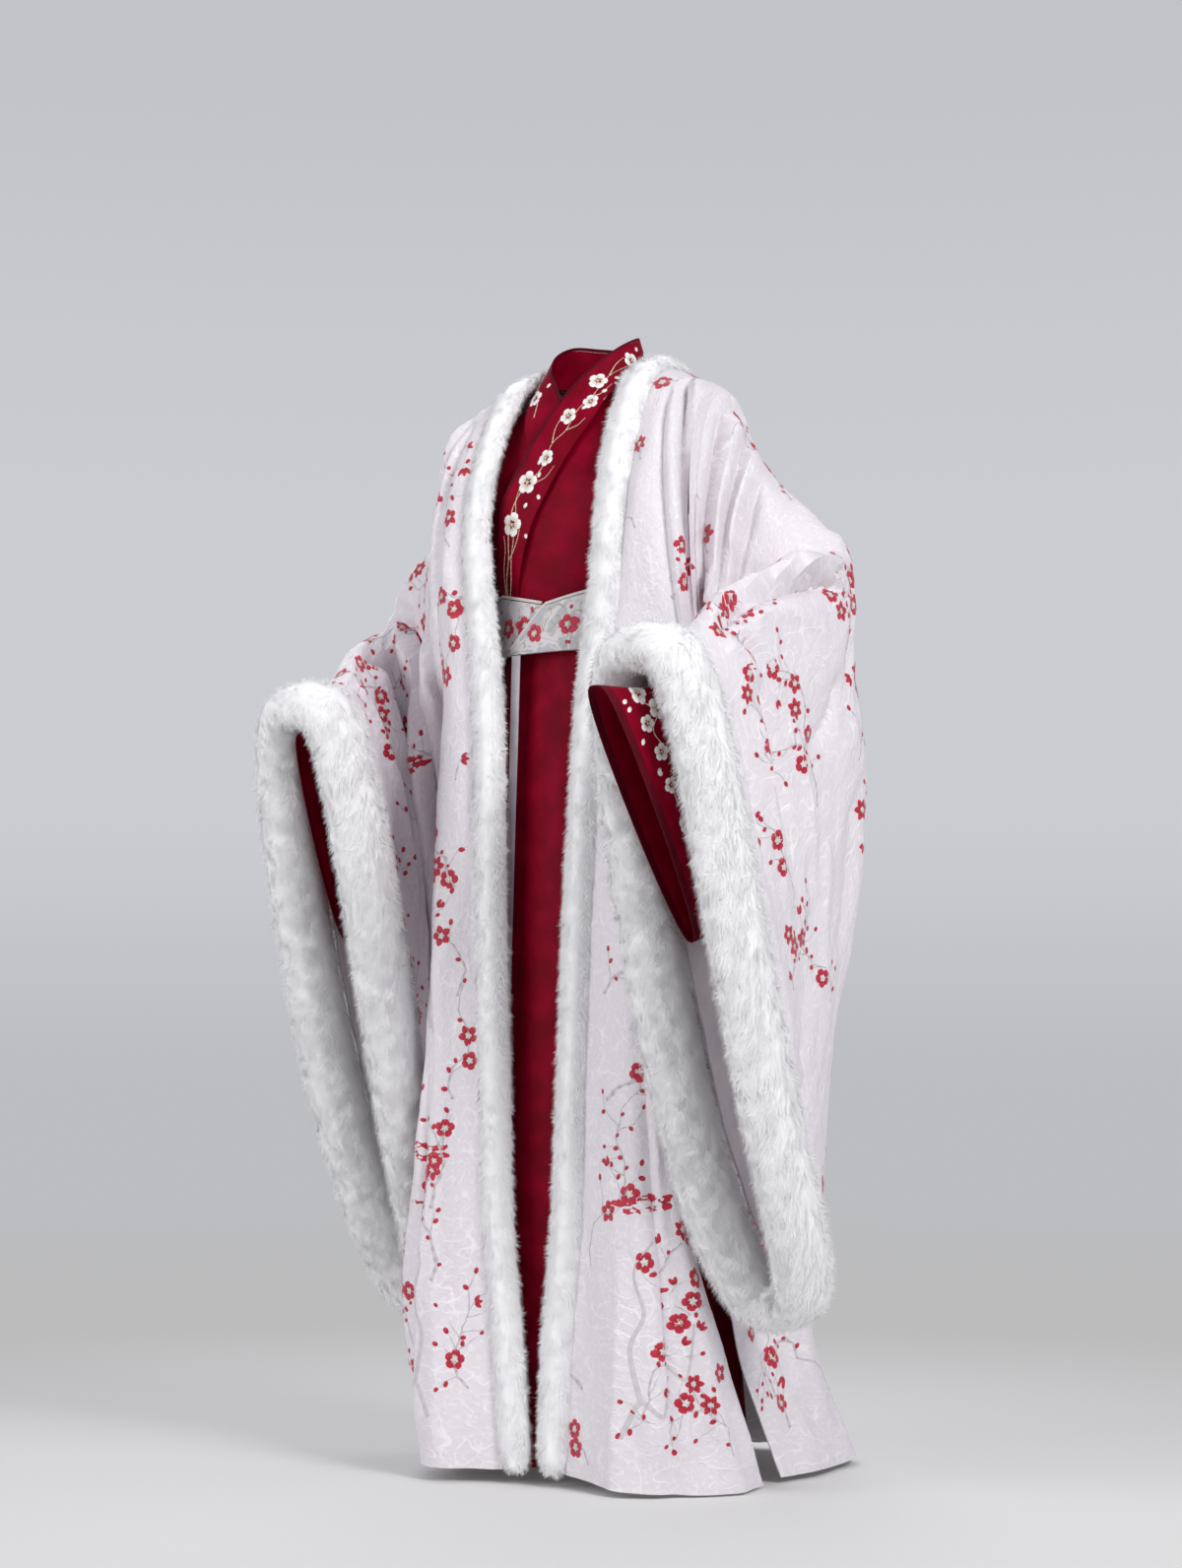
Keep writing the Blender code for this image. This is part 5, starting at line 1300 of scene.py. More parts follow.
# ---------------------------------------------------------------------------------------------
# Plum sprays of the outer robe
# Worked in silk thread all over the body and the sleeves: thin gnarled grey branches with red
# blossoms, side flowers and buds in satin stitch, and a few broad pale trunks low down.
LIFT = 0.00045
BODY_SPACING, SLEEVE_SPACING = 0.096, 0.104
SPRAY_LENGTH, TRUNK_WIDTH = 0.15, 0.0085
THREAD_STEP, THREAD_BEND, THREAD_KINK = 0.0075, 0.13, 0.75
TWIG_SHARE, TWIG_BUD_SHARE, BRANCH_BUD_SHARE = 0.46, 0.42, 0.30
PETAL_ROUND, BUD_ROUND = 8, 7


def stitched(name, deep, bright, stitches):
    """Satin stitch: threads side by side along the petal, deeper towards its base."""
    made, tree, shader = new_finish(name, bright, 0.42, 0.2)
    place = wire(tree, "ShaderNodeUVMap", uv_map="cloth").outputs["UV"]
    parts = wire(tree, "ShaderNodeSeparateXYZ", {"Vector": place})
    tree.links.new(mixed(tree, ranged(tree, parts.outputs["Y"], 0.10, 0.75), deep, bright),
                   shader.inputs["Base Color"])
    threads = wire(tree, "ShaderNodeTexWave", {"Vector": place, "Scale": stitches,
                                               "Distortion": 0.6}, bands_direction="X")
    raised = wire(tree, "ShaderNodeBump", {"Height": threads.outputs["Fac"], "Strength": 0.3,
                                           "Distance": 0.0003}).outputs["Normal"]
    tree.links.new(raised, shader.inputs["Normal"])
    return made


RED_SILK = stitched("red_petal_silk", (0.36, 0.006, 0.026), (0.55, 0.013, 0.042), 5.0)
CREAM_SILK = stitched("cream_heart_silk", (0.74, 0.62, 0.42), (0.88, 0.82, 0.76), 4.0)
GREY_SILK = stitched("grey_branch_silk", (0.48, 0.45, 0.47), (0.62, 0.585, 0.61), 3.0)
PALE_SILK = stitched("pale_trunk_silk", (0.60, 0.565, 0.585), (0.64, 0.605, 0.625), 6.0)


class Hoop:
    """Cloth held for stitching: motifs are drawn in metres about a place on it and kept until cut."""

    def __init__(self, face, around, outside):
        self.face, self.around, self.outside = face, around, outside
        self.parts = []

    def frame(self, j, i):
        """In-cloth directions and steps at a place, from half-cell differences."""
        n, m = self.face.shape[:2]
        j = np.clip(j, 0.6, m - 1.6)
        i = i if self.around else np.clip(i, 0.6, n - 1.6)
        low, high = (on_cloth(self.face, j, i - 0.5, self.around),
                     on_cloth(self.face, j, i + 0.5, self.around))
        back, fore = (on_cloth(self.face, j - 0.5, i, self.around),
                      on_cloth(self.face, j + 0.5, i, self.around))
        across, along = high - low, fore - back
        step = np.linalg.norm(across, axis=-1)
        e1 = across / step[..., None]
        slant = np.sum(along * e1, -1)
        square = along - slant[..., None] * e1
        rise = np.linalg.norm(square, axis=-1)
        e2 = square / rise[..., None]
        normal = np.cross(e1, e2)
        outside = on_cloth(self.outside, j, i, self.around)
        normal = normal * np.sign(np.sum(normal * outside, -1))[..., None]
        return e1, e2, normal, step, slant, rise

    def move(self, j, i, x, y):
        """The place x metres across and y metres along from another."""
        _, _, _, step, slant, rise = self.frame(j, i)
        dj = y / rise
        return j + dj, i + (x - slant * dj) / step

    def draw(self, j, i, shape, lift, faces, uv, silk):
        """Keeps a motif: its points about one place or its own places, its lift and its faces."""
        shape = np.asarray(shape, float)
        j = np.broadcast_to(np.asarray(j, float), len(shape))
        i = np.broadcast_to(np.asarray(i, float), len(shape))
        self.parts.append((j, i, shape, np.broadcast_to(lift, len(shape)), faces, uv, silk))

    def cut(self, name, silks, side):
        """All that is kept, as one piece lying on the cloth."""
        j, i, shape, lift = (np.concatenate([p[k] for p in self.parts]) for k in range(4))
        j, i = self.move(j, i, shape[:, 0], shape[:, 1])
        normal = self.frame(j, i)[2]
        points = on_cloth(self.face, j, i, self.around) + normal * lift[:, None]
        starts = np.cumsum([0] + [len(p[0]) for p in self.parts[:-1]])
        faces = np.concatenate([p[4] + s for p, s in zip(self.parts, starts)])
        uv = np.concatenate([p[5] for p in self.parts])
        which = np.concatenate([np.full(len(p[4]), silks.index(p[6])) for p in self.parts])
        a, b, c = (points[faces[:, k]] for k in range(3))
        turned = np.sum(np.cross(b - a, c - a) * normal[faces[:, 0]], -1) < 0
        faces[turned] = faces[turned][:, ::-1]
        faces = faces[:, ::side]
        mesh = solid_mesh(name, on_side(points, side), faces, uv[faces].reshape(-1, 2))
        made = put_on(name, mesh, silks)
        mesh.polygons.foreach_set("material_index", which.astype(np.int32))
        return made


def turned(local, angle):
    """A flat motif (across, along) turned by an angle from the way along the cloth."""
    c, s = math.cos(angle), math.sin(angle)
    return np.stack([local[:, 0] * c + local[:, 1] * s, -local[:, 0] * s + local[:, 1] * c], -1)


def petal(hoop, j, i, angle, base, length, width, point, silk):
    """One petal: rings of its outline, an oval drawn to a point at its tip, domed in the middle."""
    turn = np.linspace(0, 2 * np.pi, PETAL_ROUND, endpoint=False)
    along = (1 - np.cos(turn)) / 2
    across = np.sin(turn) * (1 - point * along**2)
    rim = np.stack([across * width / 2, base + along * length], -1)
    centre = np.array([0.0, base + length * 0.52])
    ring = centre + (rim - centre) * 0.62
    local = np.concatenate([centre[None], ring, rim])
    k = np.arange(PETAL_ROUND)
    n = (k + 1) % PETAL_ROUND
    faces = np.concatenate([
        np.stack([0 * k, 1 + k, 1 + n], -1),
        np.stack([1 + k, 1 + PETAL_ROUND + k, 1 + PETAL_ROUND + n], -1),
        np.stack([1 + k, 1 + PETAL_ROUND + n, 1 + n], -1),
    ])
    height = LIFT * np.repeat([1.5, 1.25, 0.3], [1, PETAL_ROUND, PETAL_ROUND])
    uv = np.stack([local[:, 0] / width + 0.5, (local[:, 1] - base) / length], -1)
    hoop.draw(j, i, turned(local, angle), height, faces, uv, silk)


def heart(hoop, j, i, radius, silk, rng, stamens=5):
    """Star at the flower's heart with a few short stamens."""
    k = np.arange(10)
    turn = k * np.pi / 5 + rng.uniform(0, 1)
    reach = radius * np.where(k % 2 == 0, 1.0, 0.45)
    shape = np.concatenate([[[0, 0]], np.stack([np.cos(turn), np.sin(turn)], -1) * reach[:, None]])
    faces = np.stack([0 * k, 1 + k, 1 + (k + 1) % 10], -1)
    hoop.draw(j, i, shape, 2.1 * LIFT, faces, shape / radius / 2 + 0.5, silk)
    for angle in rng.uniform(0, 2 * np.pi, stamens):
        way = np.array([math.cos(angle), math.sin(angle)])
        square = np.array([-math.sin(angle), math.cos(angle)])
        reach = radius * rng.uniform(1.5, 2.1)
        shape = np.array([square * 0.0003, -square * 0.0003, way * reach - square * 0.0005,
                          way * reach + square * 0.0005])
        faces = np.array([[0, 1, 2], [0, 2, 3]])
        hoop.draw(j, i, shape, 2.0 * LIFT, faces, np.array([[0, 0], [1, 0], [1, 1], [0, 1]]) * 0.8, silk)


def round_blossom(hoop, j, i, size, silk, centre_silk, rng):
    """Open flower of five separate round lobes about a star."""
    start = rng.uniform(0, 2 * np.pi)
    for k in range(5):
        petal(hoop, j, i, start + k * 2 * np.pi / 5, size * 0.13, size * 0.38,
              size * rng.uniform(0.41, 0.45), -0.12, silk)
    heart(hoop, j, i, size * 0.11, centre_silk, rng)


def pointed_blossom(hoop, j, i, size, silk, centre_silk, rng):
    """Open flower of five or six pointed oval petals with thin gaps between."""
    start, count = rng.uniform(0, 2 * np.pi), int(rng.integers(5, 7))
    for k in range(count):
        petal(hoop, j, i, start + k * 2 * np.pi / count, size * 0.10, size * 0.40,
              size * (0.40 if count == 5 else 0.34), 0.45, silk)
    heart(hoop, j, i, size * 0.08, centre_silk, rng, 4)


def side_flower(hoop, j, i, size, angle, silk, rng):
    """Half-open flower seen from the side: two or three petals spread from a cup."""
    count = int(rng.integers(2, 4))
    for k in range(count):
        petal(hoop, j, i, angle + (k - (count - 1) / 2) * 0.75, size * 0.05, size * 0.50,
              size * 0.30, 0.40, silk)


def bud(hoop, j, i, size, angle, silk):
    """Closed bud: one small plump oval, highest in the middle."""
    k = np.arange(BUD_ROUND)
    turn = k * 2 * np.pi / BUD_ROUND
    rim = np.stack([np.sin(turn) * 0.5, 0.7 - 0.7 * np.cos(turn)], -1) * size
    local = np.concatenate([[[0.0, 0.7 * size]], rim])
    faces = np.stack([0 * k, 1 + k, 1 + (k + 1) % BUD_ROUND], -1)
    height = LIFT * np.repeat([2.2, 0.4], [1, BUD_ROUND])
    hoop.draw(j, i, turned(local, angle), height, faces, local / size / 1.4 + np.array([0.5, 0.0]), silk)


def thread(hoop, places, headings, half, silk):
    """Couched thread through places on the cloth: a ribbon raised along its middle."""
    count = len(places)
    square = np.stack([np.cos(headings), -np.sin(headings)], -1) * half[:, None]
    shape = np.concatenate([-square, 0 * square, square])
    lift = np.repeat([0.2 * LIFT, 1.3 * LIFT, 0.2 * LIFT], count)
    k = np.arange(count - 1)
    faces = []
    for a, b in ((0, count), (count, 2 * count)):
        faces += [np.stack([a + k, b + k, b + k + 1], -1), np.stack([a + k, b + k + 1, a + k + 1], -1)]
    run = np.tile(np.arange(count) % 2, 3)
    uv = np.stack([np.repeat([0.0, 0.5, 1.0], count), run], -1)
    hoop.draw(np.tile(places[:, 0], 3), np.tile(places[:, 1], 3), shape, lift,
              np.concatenate(faces), uv, silk)


def branch(hoop, j, i, angle, length, width, rng, silk):
    """A gnarled thread: it wanders, kinks every few centimetres and thins to its end.  Gives the
    places and headings along it."""
    places, headings = [(j, i)], [angle]
    since = 0.0
    for _ in range(max(3, int(length / THREAD_STEP))):
        angle += rng.normal(0, THREAD_BEND)
        since += THREAD_STEP
        if since > rng.uniform(0.018, 0.045):
            angle += rng.choice([-1, 1]) * rng.uniform(0.4, 1.0) * THREAD_KINK
            since = 0.0
        j, i = hoop.move(np.float64(j), np.float64(i), THREAD_STEP * math.sin(angle),
                         THREAD_STEP * math.cos(angle))
        places.append((j, i))
        headings.append(angle)
    places, headings = np.array(places), np.array(headings)
    taper = np.linspace(1.0, 0.35, len(places)) * (1 + 0.18 * rng.normal(size=len(places)))
    taper[-1] = 0.12
    thread(hoop, places, headings, width / 2 * taper, silk)
    return places, headings


def stem(hoop, nodes, width, silk):
    """A thread laid through given nodes (along, across) of the grid, thinning to its end."""
    nodes = np.array(nodes, float)
    last = len(nodes) - 1
    count = 8 * last + 1
    places = through(np.column_stack([np.arange(last + 1), nodes]), np.linspace(0, last, count))
    _, _, _, step, slant, rise = hoop.frame(places[:, 0], places[:, 1])
    dj, di = np.gradient(places[:, 0]), np.gradient(places[:, 1])
    headings = np.arctan2(di * step + slant * dj, dj * rise)
    thread(hoop, places, headings, width / 2 * np.linspace(1.0, 0.4, count), silk)


def inside(hoop, j, i, margin):
    """Whether a place is this many metres or more inside the cloth's own edges."""
    n, m = hoop.face.shape[:2]
    _, _, _, step, _, rise = hoop.frame(np.float64(j), np.float64(i))
    fits = margin / rise < j < m - 1 - margin / rise
    return fits and (hoop.around or margin / step < i < n - 1 - margin / step)


def spray(hoop, j, i, rng):
    """A branch that rises or leans, with side twigs, two to five flowers and a scatter of buds."""
    e1, e2 = hoop.frame(np.float64(j), np.float64(i))[:2]
    lean = rng.uniform(-1.1, 1.1)
    wanted = np.array([math.sin(lean), math.sin(lean) * 0.3, math.cos(lean)])
    angle = math.atan2(wanted @ e1, wanted @ e2)
    width = rng.choice([0.0026, 0.0036, 0.0062], p=[0.4, 0.4, 0.2])
    places, headings = branch(hoop, j, i, angle, SPRAY_LENGTH * rng.uniform(0.8, 1.3), width, rng,
                              GREY_SILK)
    spots = []
    for k in range(3, len(places) - 1):
        if rng.uniform() > TWIG_SHARE or not inside(hoop, *places[k], 0.03):
            continue
        way = headings[k] + rng.choice([-1, 1]) * rng.uniform(0.5, 1.1)
        twig, ways = branch(hoop, *places[k], way, rng.uniform(0.020, 0.060), 0.0017, rng, GREY_SILK)
        spots.append((*twig[-1], ways[-1]))
        spots += [(*twig[n], ways[n] + rng.choice([-1, 1]) * 0.9) for n in range(2, len(twig) - 1)
                  if rng.uniform() < TWIG_BUD_SHARE]
    spots += [(*places[-1], headings[-1])]
    spots += [(*places[k], headings[k] + rng.choice([-1, 1]) * 1.1) for k in range(2, len(places) - 1)
              if rng.uniform() < BRANCH_BUD_SHARE]
    rng.shuffle(spots)
    flowers, taken = int(rng.integers(2, 6)), []
    for spot_j, spot_i, way in spots:
        if not inside(hoop, spot_j, spot_i, 0.014):
            continue
        here = on_cloth(hoop.face, np.float64(spot_j), np.float64(spot_i), hoop.around)
        reach = [np.linalg.norm(here - there) for there, _ in taken]
        if flowers > 0 and all(far > (0.023 if big else 0.014) for far, (_, big) in zip(reach, taken)):
            kind = rng.uniform()
            if kind < 0.42:
                round_blossom(hoop, spot_j, spot_i, rng.uniform(0.025, 0.029), RED_SILK, CREAM_SILK, rng)
            elif kind < 0.78:
                pointed_blossom(hoop, spot_j, spot_i, rng.uniform(0.027, 0.032), RED_SILK, CREAM_SILK, rng)
            else:
                side_flower(hoop, spot_j, spot_i, rng.uniform(0.022, 0.027), way, RED_SILK, rng)
            flowers -= 1
            taken.append((here, True))
        elif all(far > (0.017 if big else 0.008) for far, (_, big) in zip(reach, taken)):
            bud(hoop, spot_j, spot_i, rng.uniform(0.0052, 0.0074), way, RED_SILK)
            taken.append((here, False))


def sprays_over(hoop, rng, spacing, first=()):
    """Sprays scattered evenly: the first ones as given, then places tried at random and kept when
    clear of the others."""
    n, m = hoop.face.shape[:2]
    kept = []
    for j, i in [*first, *((rng.uniform(1, m - 2), rng.uniform(1, n - 2)) for _ in range(1500))]:
        here = on_cloth(hoop.face, np.float64(j), np.float64(i), hoop.around)
        if all(np.linalg.norm(here - there) > spacing for there in kept) and inside(hoop, j, i, 0.02):
            kept.append(here)
            spray(hoop, j, i, rng)


def away_from(face, middle):
    """Direction from the middle to each point, which tells the cloth's outer side."""
    return face - np.array(middle, float)


def cells(places, along, across):
    """Places given along and across the cloth, as cells of its grid, with what follows each."""
    return [(np.interp(a, along, np.arange(len(along))), np.interp(c, across, np.arange(len(across))),
             *rest) for a, c, *rest in places]


# Sprays given one by one beside the front fur, on the chest and at the top of the sleeves, and the
# pale trunks low on each front and on the train: each place is along the cloth and across it.
FRONT_SPRAYS = [(0.43, 0.17), (0.35, 0.15), (0.275, 0.20), (0.90, 0.52), (0.80, 0.46), (0.73, 0.22),
                (0.65, 0.62)]
SLEEVE_SPRAYS = [(0.07, 0.57), (0.15, 0.48)]
TRUNKS = [
    [(0.035, 0.30), (0.060, 0.40), (0.052, 0.50), (0.085, 0.58), (0.078, 0.70), (0.115, 0.80)],
    [(0.060, 0.40), (0.095, 0.36), (0.120, 0.44), (0.150, 0.40), (0.175, 0.50)],
    [(0.330, 0.42), (0.350, 0.52), (0.338, 0.62), (0.372, 0.72), (0.390, 0.84)],
    [(1.940, 0.25), (1.915, 0.38), (1.925, 0.50), (1.890, 0.60), (1.870, 0.74)],
    [(1.700, 0.20), (1.680, 0.32), (1.655, 0.38), (1.640, 0.52), (1.600, 0.58)],
]
SILKS = [RED_SILK, CREAM_SILK, GREY_SILK, PALE_SILK]
for side in (1, -1):
    body, face, t, u = outer_bodies[side]
    hoop = Hoop(face, False, unit(away_from(face, (0, 0, 0)) * np.array([1, 1, 0.2])))
    for trunk in TRUNKS:
        stem(hoop, cells(trunk, t, u), TRUNK_WIDTH, PALE_SILK)
    sprays_over(hoop, np.random.default_rng(103 + side), BODY_SPACING, cells(FRONT_SPRAYS, t, u))
    sprays = hoop.cut(named("plum_sprays_body", side), SILKS, side)
    sleeve, face, s, q = outer_sleeves[side][:4]
    hoop = Hoop(face, True, face - face.mean(axis=0, keepdims=True))
    sprays_over(hoop, np.random.default_rng(111 + side), SLEEVE_SPACING, cells(SLEEVE_SPRAYS, s, q))
    sprays = hoop.cut(named("plum_sprays_sleeve", side), SILKS, side)

# ---------------------------------------------------------------------------------------------
# White flowers of the collar and the inner sleeves
# White plum blossom and buds on gold stems, worked in silk on the crimson collar and round the
# mouths of the inner sleeves.  Each flower is given along the cloth, across it and by its size.
WHITE_SILK = stitched("white_petal_silk", (0.72, 0.62, 0.58), (0.93, 0.91, 0.90), 5.0)
GOLD_SILK = stitched("gold_stem_silk", (0.50, 0.38, 0.24), (0.74, 0.64, 0.46), 3.0)
WHITE_SILKS = [WHITE_SILK, GOLD_SILK]
FLOWER_GROWTH = 1.28
COLLAR_FLOWERS = {
    1: [(0.20, 0.60, 0.017), (0.275, 0.52, 0.022), (0.42, 0.42, 0.021), (0.475, 0.66, 0.018),
        (0.565, 0.40, 0.020), (0.70, 0.52, 0.019), (0.785, 0.38, 0.026), (0.90, 0.42, 0.027),
        (0.12, 0.45, 0.020), (0.03, 0.60, 0.020)],
    -1: [(0.22, 0.52, 0.020), (0.34, 0.45, 0.021), (0.43, 0.62, 0.020), (0.12, 0.50, 0.020)],
}
COLLAR_STEMS = {
    1: [
        [(1.11, 0.52), (1.05, 0.44), (0.99, 0.47), (0.93, 0.36), (0.86, 0.30), (0.80, 0.36),
         (0.73, 0.55), (0.66, 0.46), (0.60, 0.58), (0.52, 0.50), (0.46, 0.60), (0.38, 0.56),
         (0.30, 0.64), (0.22, 0.52), (0.12, 0.55), (0.02, 0.50)],
        [(1.10, 0.62), (1.04, 0.66), (0.98, 0.58), (0.93, 0.56), (0.87, 0.44), (0.84, 0.30), (0.80, 0.24)],
        [(1.09, 0.40), (1.03, 0.30), (0.97, 0.30), (0.94, 0.20)],
        [(0.99, 0.47), (0.96, 0.62), (0.92, 0.70), (0.89, 0.68)],
        [(0.80, 0.36), (0.77, 0.60), (0.74, 0.78), (0.70, 0.84)],
        [(0.66, 0.46), (0.62, 0.30), (0.56, 0.26)],
        [(0.60, 0.58), (0.56, 0.76), (0.52, 0.82)],
        [(0.46, 0.60), (0.43, 0.78), (0.38, 0.84)],
        [(0.38, 0.56), (0.34, 0.38), (0.30, 0.32)],
        [(0.22, 0.52), (0.19, 0.76), (0.15, 0.80)],
    ],
    -1: [
        [(0.50, 0.70), (0.45, 0.50), (0.40, 0.60), (0.33, 0.48), (0.26, 0.60), (0.18, 0.48), (0.06, 0.52)],
        [(0.40, 0.60), (0.37, 0.80), (0.33, 0.82)],
        [(0.26, 0.60), (0.24, 0.34), (0.20, 0.30)],
    ],
}
CUFF_FLOWERS = [
    (0.945, 0.455, 0.022), (0.925, 0.410, 0.023), (0.955, 0.375, 0.018), (0.950, 0.330, 0.018),
    (0.955, 0.285, 0.017), (0.950, 0.235, 0.019), (0.955, 0.180, 0.018), (0.945, 0.130, 0.020),
    (0.940, 0.560, 0.020), (0.945, 0.640, 0.021), (0.950, 0.720, 0.018), (0.945, 0.800, 0.020),
    (0.950, 0.880, 0.019),
]
CUFF_STEMS = [
    [(0.93, 0.48), (0.955, 0.44), (0.93, 0.40), (0.95, 0.36), (0.935, 0.32), (0.955, 0.27), (0.935, 0.22),
     (0.95, 0.16), (0.94, 0.11)],
    [(0.93, 0.52), (0.955, 0.58), (0.935, 0.63), (0.955, 0.69), (0.94, 0.76), (0.955, 0.83), (0.94, 0.90)],
]


def white_work(hoop, flowers, stems, rng):
    """Gold stems first, then white flowers with gold hearts and a bud or two beside each."""
    for nodes in stems:
        stem(hoop, nodes, 0.0018, GOLD_SILK)
    for j, i, size in flowers:
        size = size * FLOWER_GROWTH
        round_blossom(hoop, j, i, size, WHITE_SILK, GOLD_SILK, rng)
        for angle in rng.uniform(0, 2 * np.pi, int(rng.integers(1, 3))):
            place = hoop.move(np.float64(j), np.float64(i), size * 0.85 * math.sin(angle),
                              size * 0.85 * math.cos(angle))
            bud(hoop, *place, 0.0062, angle, WHITE_SILK)


for side in (1, -1):
    band, binding, face = collars[side]
    along, across = np.linspace(0, COLLAR_END, face.shape[1]), np.linspace(0, 1, face.shape[0])
    hoop = Hoop(face, False, away_from(face, (0, 0, -0.05)))
    white_work(hoop, cells(COLLAR_FLOWERS[side], along, across),
               [cells(nodes, along, across) for nodes in COLLAR_STEMS[side]],
               np.random.default_rng(121 + side))
    collar_sprays = hoop.cut(named("white_sprays_collar", side), WHITE_SILKS, side)
    sleeve, cuff, face, q = inner_sleeves[side]
    along = np.linspace(0, CUFF_EDGE_FROM, face.shape[1])
    hoop = Hoop(face, True, face - face.mean(axis=0, keepdims=True))
    white_work(hoop, cells(CUFF_FLOWERS, along, q), [cells(nodes, along, q) for nodes in CUFF_STEMS],
               np.random.default_rng(131 + side))
    cuff_sprays = hoop.cut(named("white_sprays_cuff", side), WHITE_SILKS, side)

# ---------------------------------------------------------------------------------------------
# Red flowers of the belt
# Red plum blossom with cream hearts and scattered buds, worked in silk round the brocade.
BELT_FLOWERS = {
    # turn from the front in degrees, share of the belt's height, size
    1: [(-6, 0.58, 0.026), (12, 0.50, 0.028), (33, 0.45, 0.027), (58, 0.52, 0.027), (84, 0.46, 0.028),
        (112, 0.55, 0.027), (140, 0.45, 0.028), (168, 0.52, 0.027)],
    -1: [(14, 0.55, 0.026), (30, 0.50, 0.028), (56, 0.48, 0.027), (82, 0.54, 0.028), (110, 0.46, 0.027),
         (138, 0.54, 0.028), (166, 0.48, 0.027)],
}


def belt_work(side):
    """Red flowers with cream hearts and scattered buds along the belt."""
    _, _, face, turn = belts[side]
    rng = np.random.default_rng(141 + side)
    face = face.transpose(1, 0, 2)
    hoop = Hoop(face, False, away_from(face, (0, 0, -0.305)))
    for degrees, share, size in BELT_FLOWERS[side]:
        j = np.interp(-math.radians(degrees), -turn, np.arange(len(turn)))
        i = (BELT_ROWS - 1) * share
        round_blossom(hoop, j, i, size, RED_SILK, CREAM_SILK, rng)
        for angle in rng.uniform(0, 2 * np.pi, 4):
            reach = size * rng.uniform(0.70, 0.95)
            place = hoop.move(np.float64(j), np.float64(i), reach * math.sin(angle), reach * math.cos(angle))
            if inside(hoop, *place, 0.005):
                bud(hoop, *place, 0.0045, angle, RED_SILK)
    return hoop.cut(named("red_sprays_belt", side), [RED_SILK, CREAM_SILK], side)


for side in (1, -1):
    belt_work(side)

# ---------------------------------------------------------------------------------------------
# Studio
# Plain pale floor that runs back into the wall, soft light from the front and above.  The wall
# is painted shade, darker at the horizon and towards the top, and the floor's far part glows
# with painted light in the tone of the horizon shade.
FLOOR = -1.46
# The wall's lit tone, and its painted horizon shade, darker, where it meets the floor.
WALL = (0.600, 0.608, 0.645)
HORIZON_SHADE = (0.505, 0.512, 0.535)
CAMERA_TURN, CAMERA_TILT, CAMERA_DISTANCE, CAMERA_HEIGHT = 35.0, 5.06, 4.4, 0.55
CAMERA_FILM, CAMERA_LENS = 36.0, 73.538


def pale_floor():
    """Matt floor near the figure; further out it glows with painted light, in the tone of the
    wall's painted horizon shade.
    """
    made = bpy.data.materials.new("pale_floor")
    made.use_nodes = True
    tree = made.node_tree
    matt = tree.nodes["Principled BSDF"]
    matt.inputs["Base Color"].default_value = (0.80, 0.795, 0.79, 1.0)
    matt.inputs["Roughness"].default_value = 0.9
    place = wire(tree, "ShaderNodeTexCoord").outputs["Object"]
    far = wire(tree, "ShaderNodeVectorMath", {0: place}, operation="LENGTH").outputs["Value"]
    # The far floor glows: painted light, no lamp.
    glow = wire(tree, "ShaderNodeEmission", {"Strength": 1.0})
    shade = mixed(tree, ranged(tree, far, 3.0, 10.0), (0.500, 0.500, 0.505), HORIZON_SHADE)
    tree.links.new(shade, glow.inputs["Color"])
    both = wire(tree, "ShaderNodeMixShader", {0: ranged(tree, far, 1.0, 3.2)})
    tree.links.new(matt.outputs["BSDF"], both.inputs[1])
    tree.links.new(glow.outputs["Emission"], both.inputs[2])
    tree.links.new(both.outputs["Shader"], tree.nodes["Material Output"].inputs["Surface"])
    return made


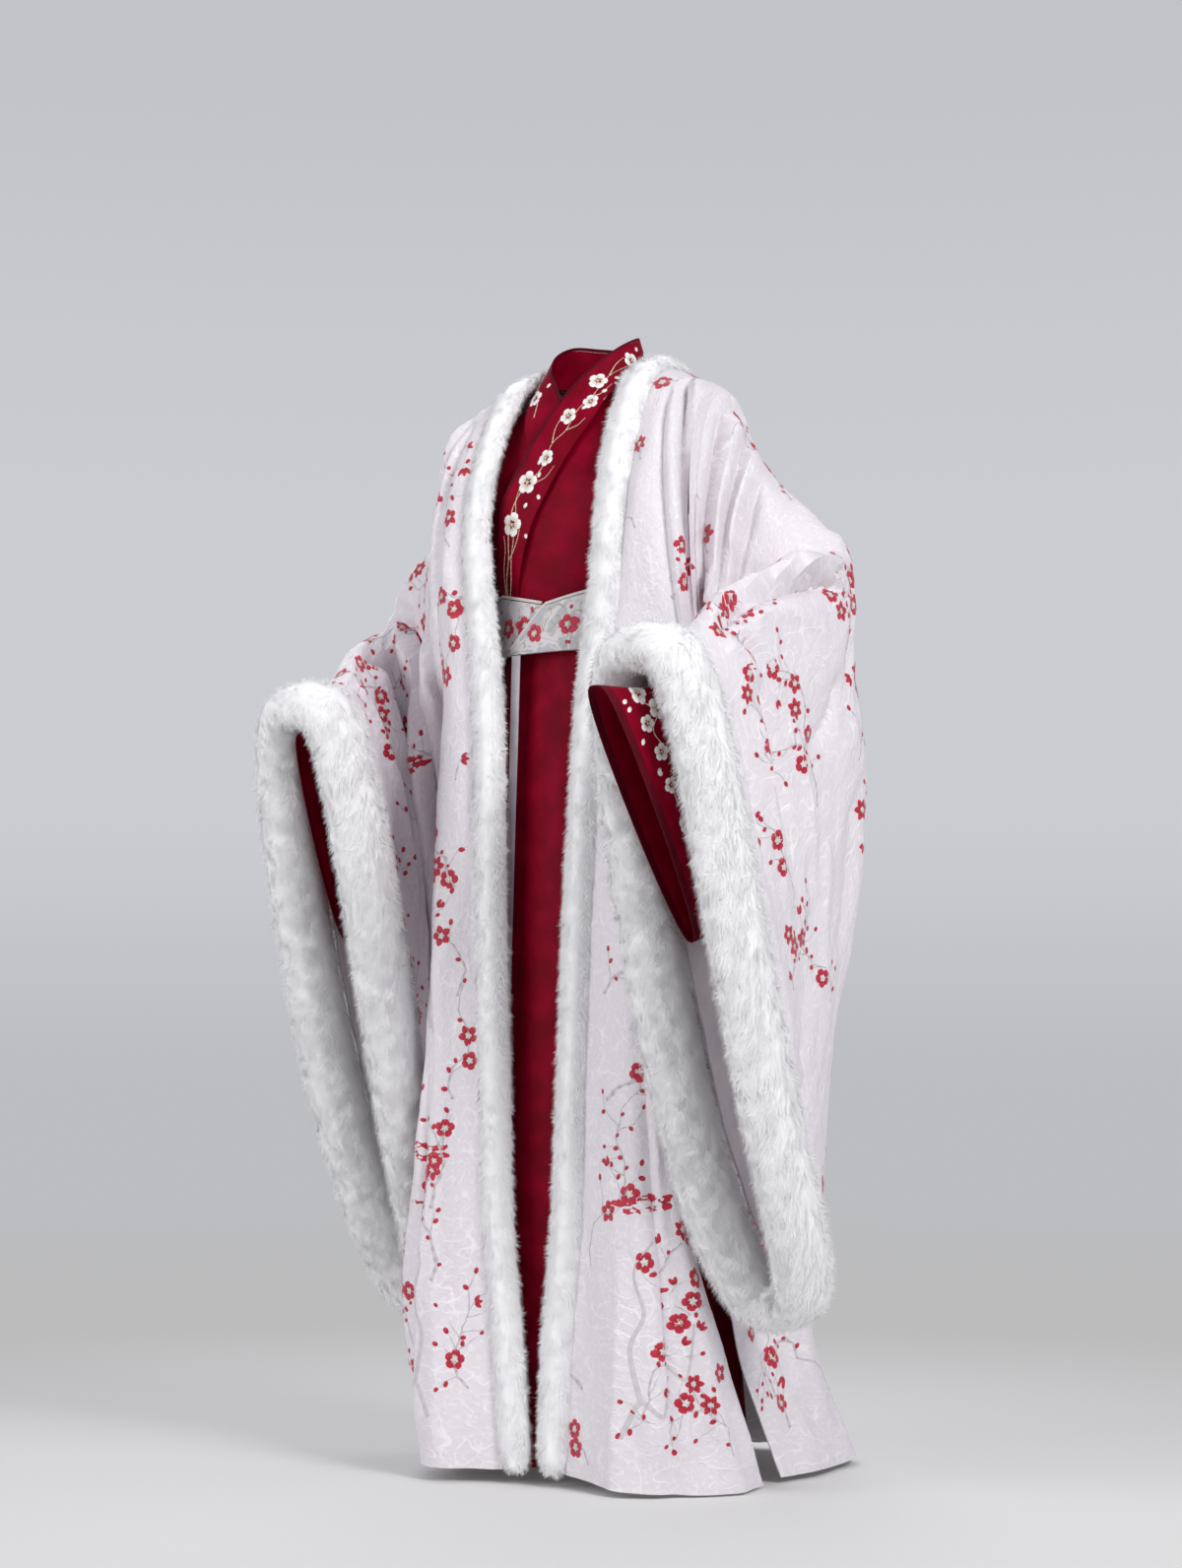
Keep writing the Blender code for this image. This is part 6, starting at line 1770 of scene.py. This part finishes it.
def floor_disc():
    """Flat disc, far wider than the view, with the Object origin under the figure."""
    turn = np.linspace(0, 2 * np.pi, 96, endpoint=False)
    rings = [np.stack([r * np.cos(turn), r * np.sin(turn), 0 * turn + FLOOR], -1) for r in (3, 12, 60)]
    points = np.concatenate([[[0, 0, FLOOR]], *rings])
    k = np.arange(96)
    n = (k + 1) % 96
    faces = [np.stack([0 * k, 1 + k, 1 + n], -1)]
    for r in (0, 1):
        a, b = 1 + 96 * r, 97 + 96 * r
        faces += [np.stack([a + k, b + k, b + n], -1), np.stack([a + k, b + n, a + n], -1)]
    mesh = solid_mesh("floor", points, np.concatenate(faces))
    mesh.materials.append(pale_floor())
    disc = bpy.data.objects.new("floor", mesh)
    bpy.context.scene.collection.objects.link(disc)


def soft_light(name, place, size, power):
    """Large square light turned to the figure's middle."""
    lamp = bpy.data.lights.new(name, "AREA")
    lamp.size, lamp.energy = size, power
    made = bpy.data.objects.new(name, lamp)
    made.location = place
    made.rotation_euler = (Vector((0, 0, -0.7)) - Vector(place)).to_track_quat("-Z", "Y").to_euler()
    bpy.context.scene.collection.objects.link(made)


floor_disc()
soft_light("key_light", (3.6, -1.5, 1.5), 1.3, 112.0)
soft_light("fill_light", (-1.6, -3.5, 0.3), 2.4, 58.0)
soft_light("top_light", (-0.3, 0.5, 2.6), 2.2, 16.0)
soft_light("back_light", (-2.6, 2.6, 0.8), 2.2, 26.0)
world = bpy.data.worlds.new("studio_wall")
world.use_nodes = True
tree = world.node_tree
up = wire(tree, "ShaderNodeSeparateXYZ", {"Vector": wire(tree, "ShaderNodeTexCoord").outputs["Generated"]})
# Painted shade on the wall: darker at the horizon and again towards the top.
lower_wall = mixed(tree, ranged(tree, up.outputs["Z"], -0.01, 0.09), HORIZON_SHADE, WALL)
upper_wall = mixed(tree, ranged(tree, up.outputs["Z"], 0.14, 0.36), lower_wall, (0.530, 0.538, 0.575))
seen = wire(tree, "ShaderNodeLightPath").outputs["Is Camera Ray"]
tree.links.new(upper_wall, tree.nodes["Background"].inputs["Color"])
tree.links.new(ranged(tree, seen, 0.0, 1.0, 0.72, 1.0), tree.nodes["Background"].inputs["Strength"])
bpy.context.scene.world = world
bpy.context.scene.view_settings.view_transform = "Standard"

camera_data = bpy.data.cameras.new("camera")
camera_data.sensor_fit = "VERTICAL"
camera_data.sensor_height = CAMERA_FILM
camera_data.lens = CAMERA_LENS
camera = bpy.data.objects.new("camera", camera_data)
turn = math.radians(CAMERA_TURN)
camera.location = (CAMERA_DISTANCE * math.sin(turn), -CAMERA_DISTANCE * math.cos(turn),
                   FLOOR + CAMERA_HEIGHT)
camera.rotation_euler = (math.pi / 2 + math.radians(CAMERA_TILT), 0, turn)
bpy.context.scene.collection.objects.link(camera)
bpy.context.scene.camera = camera
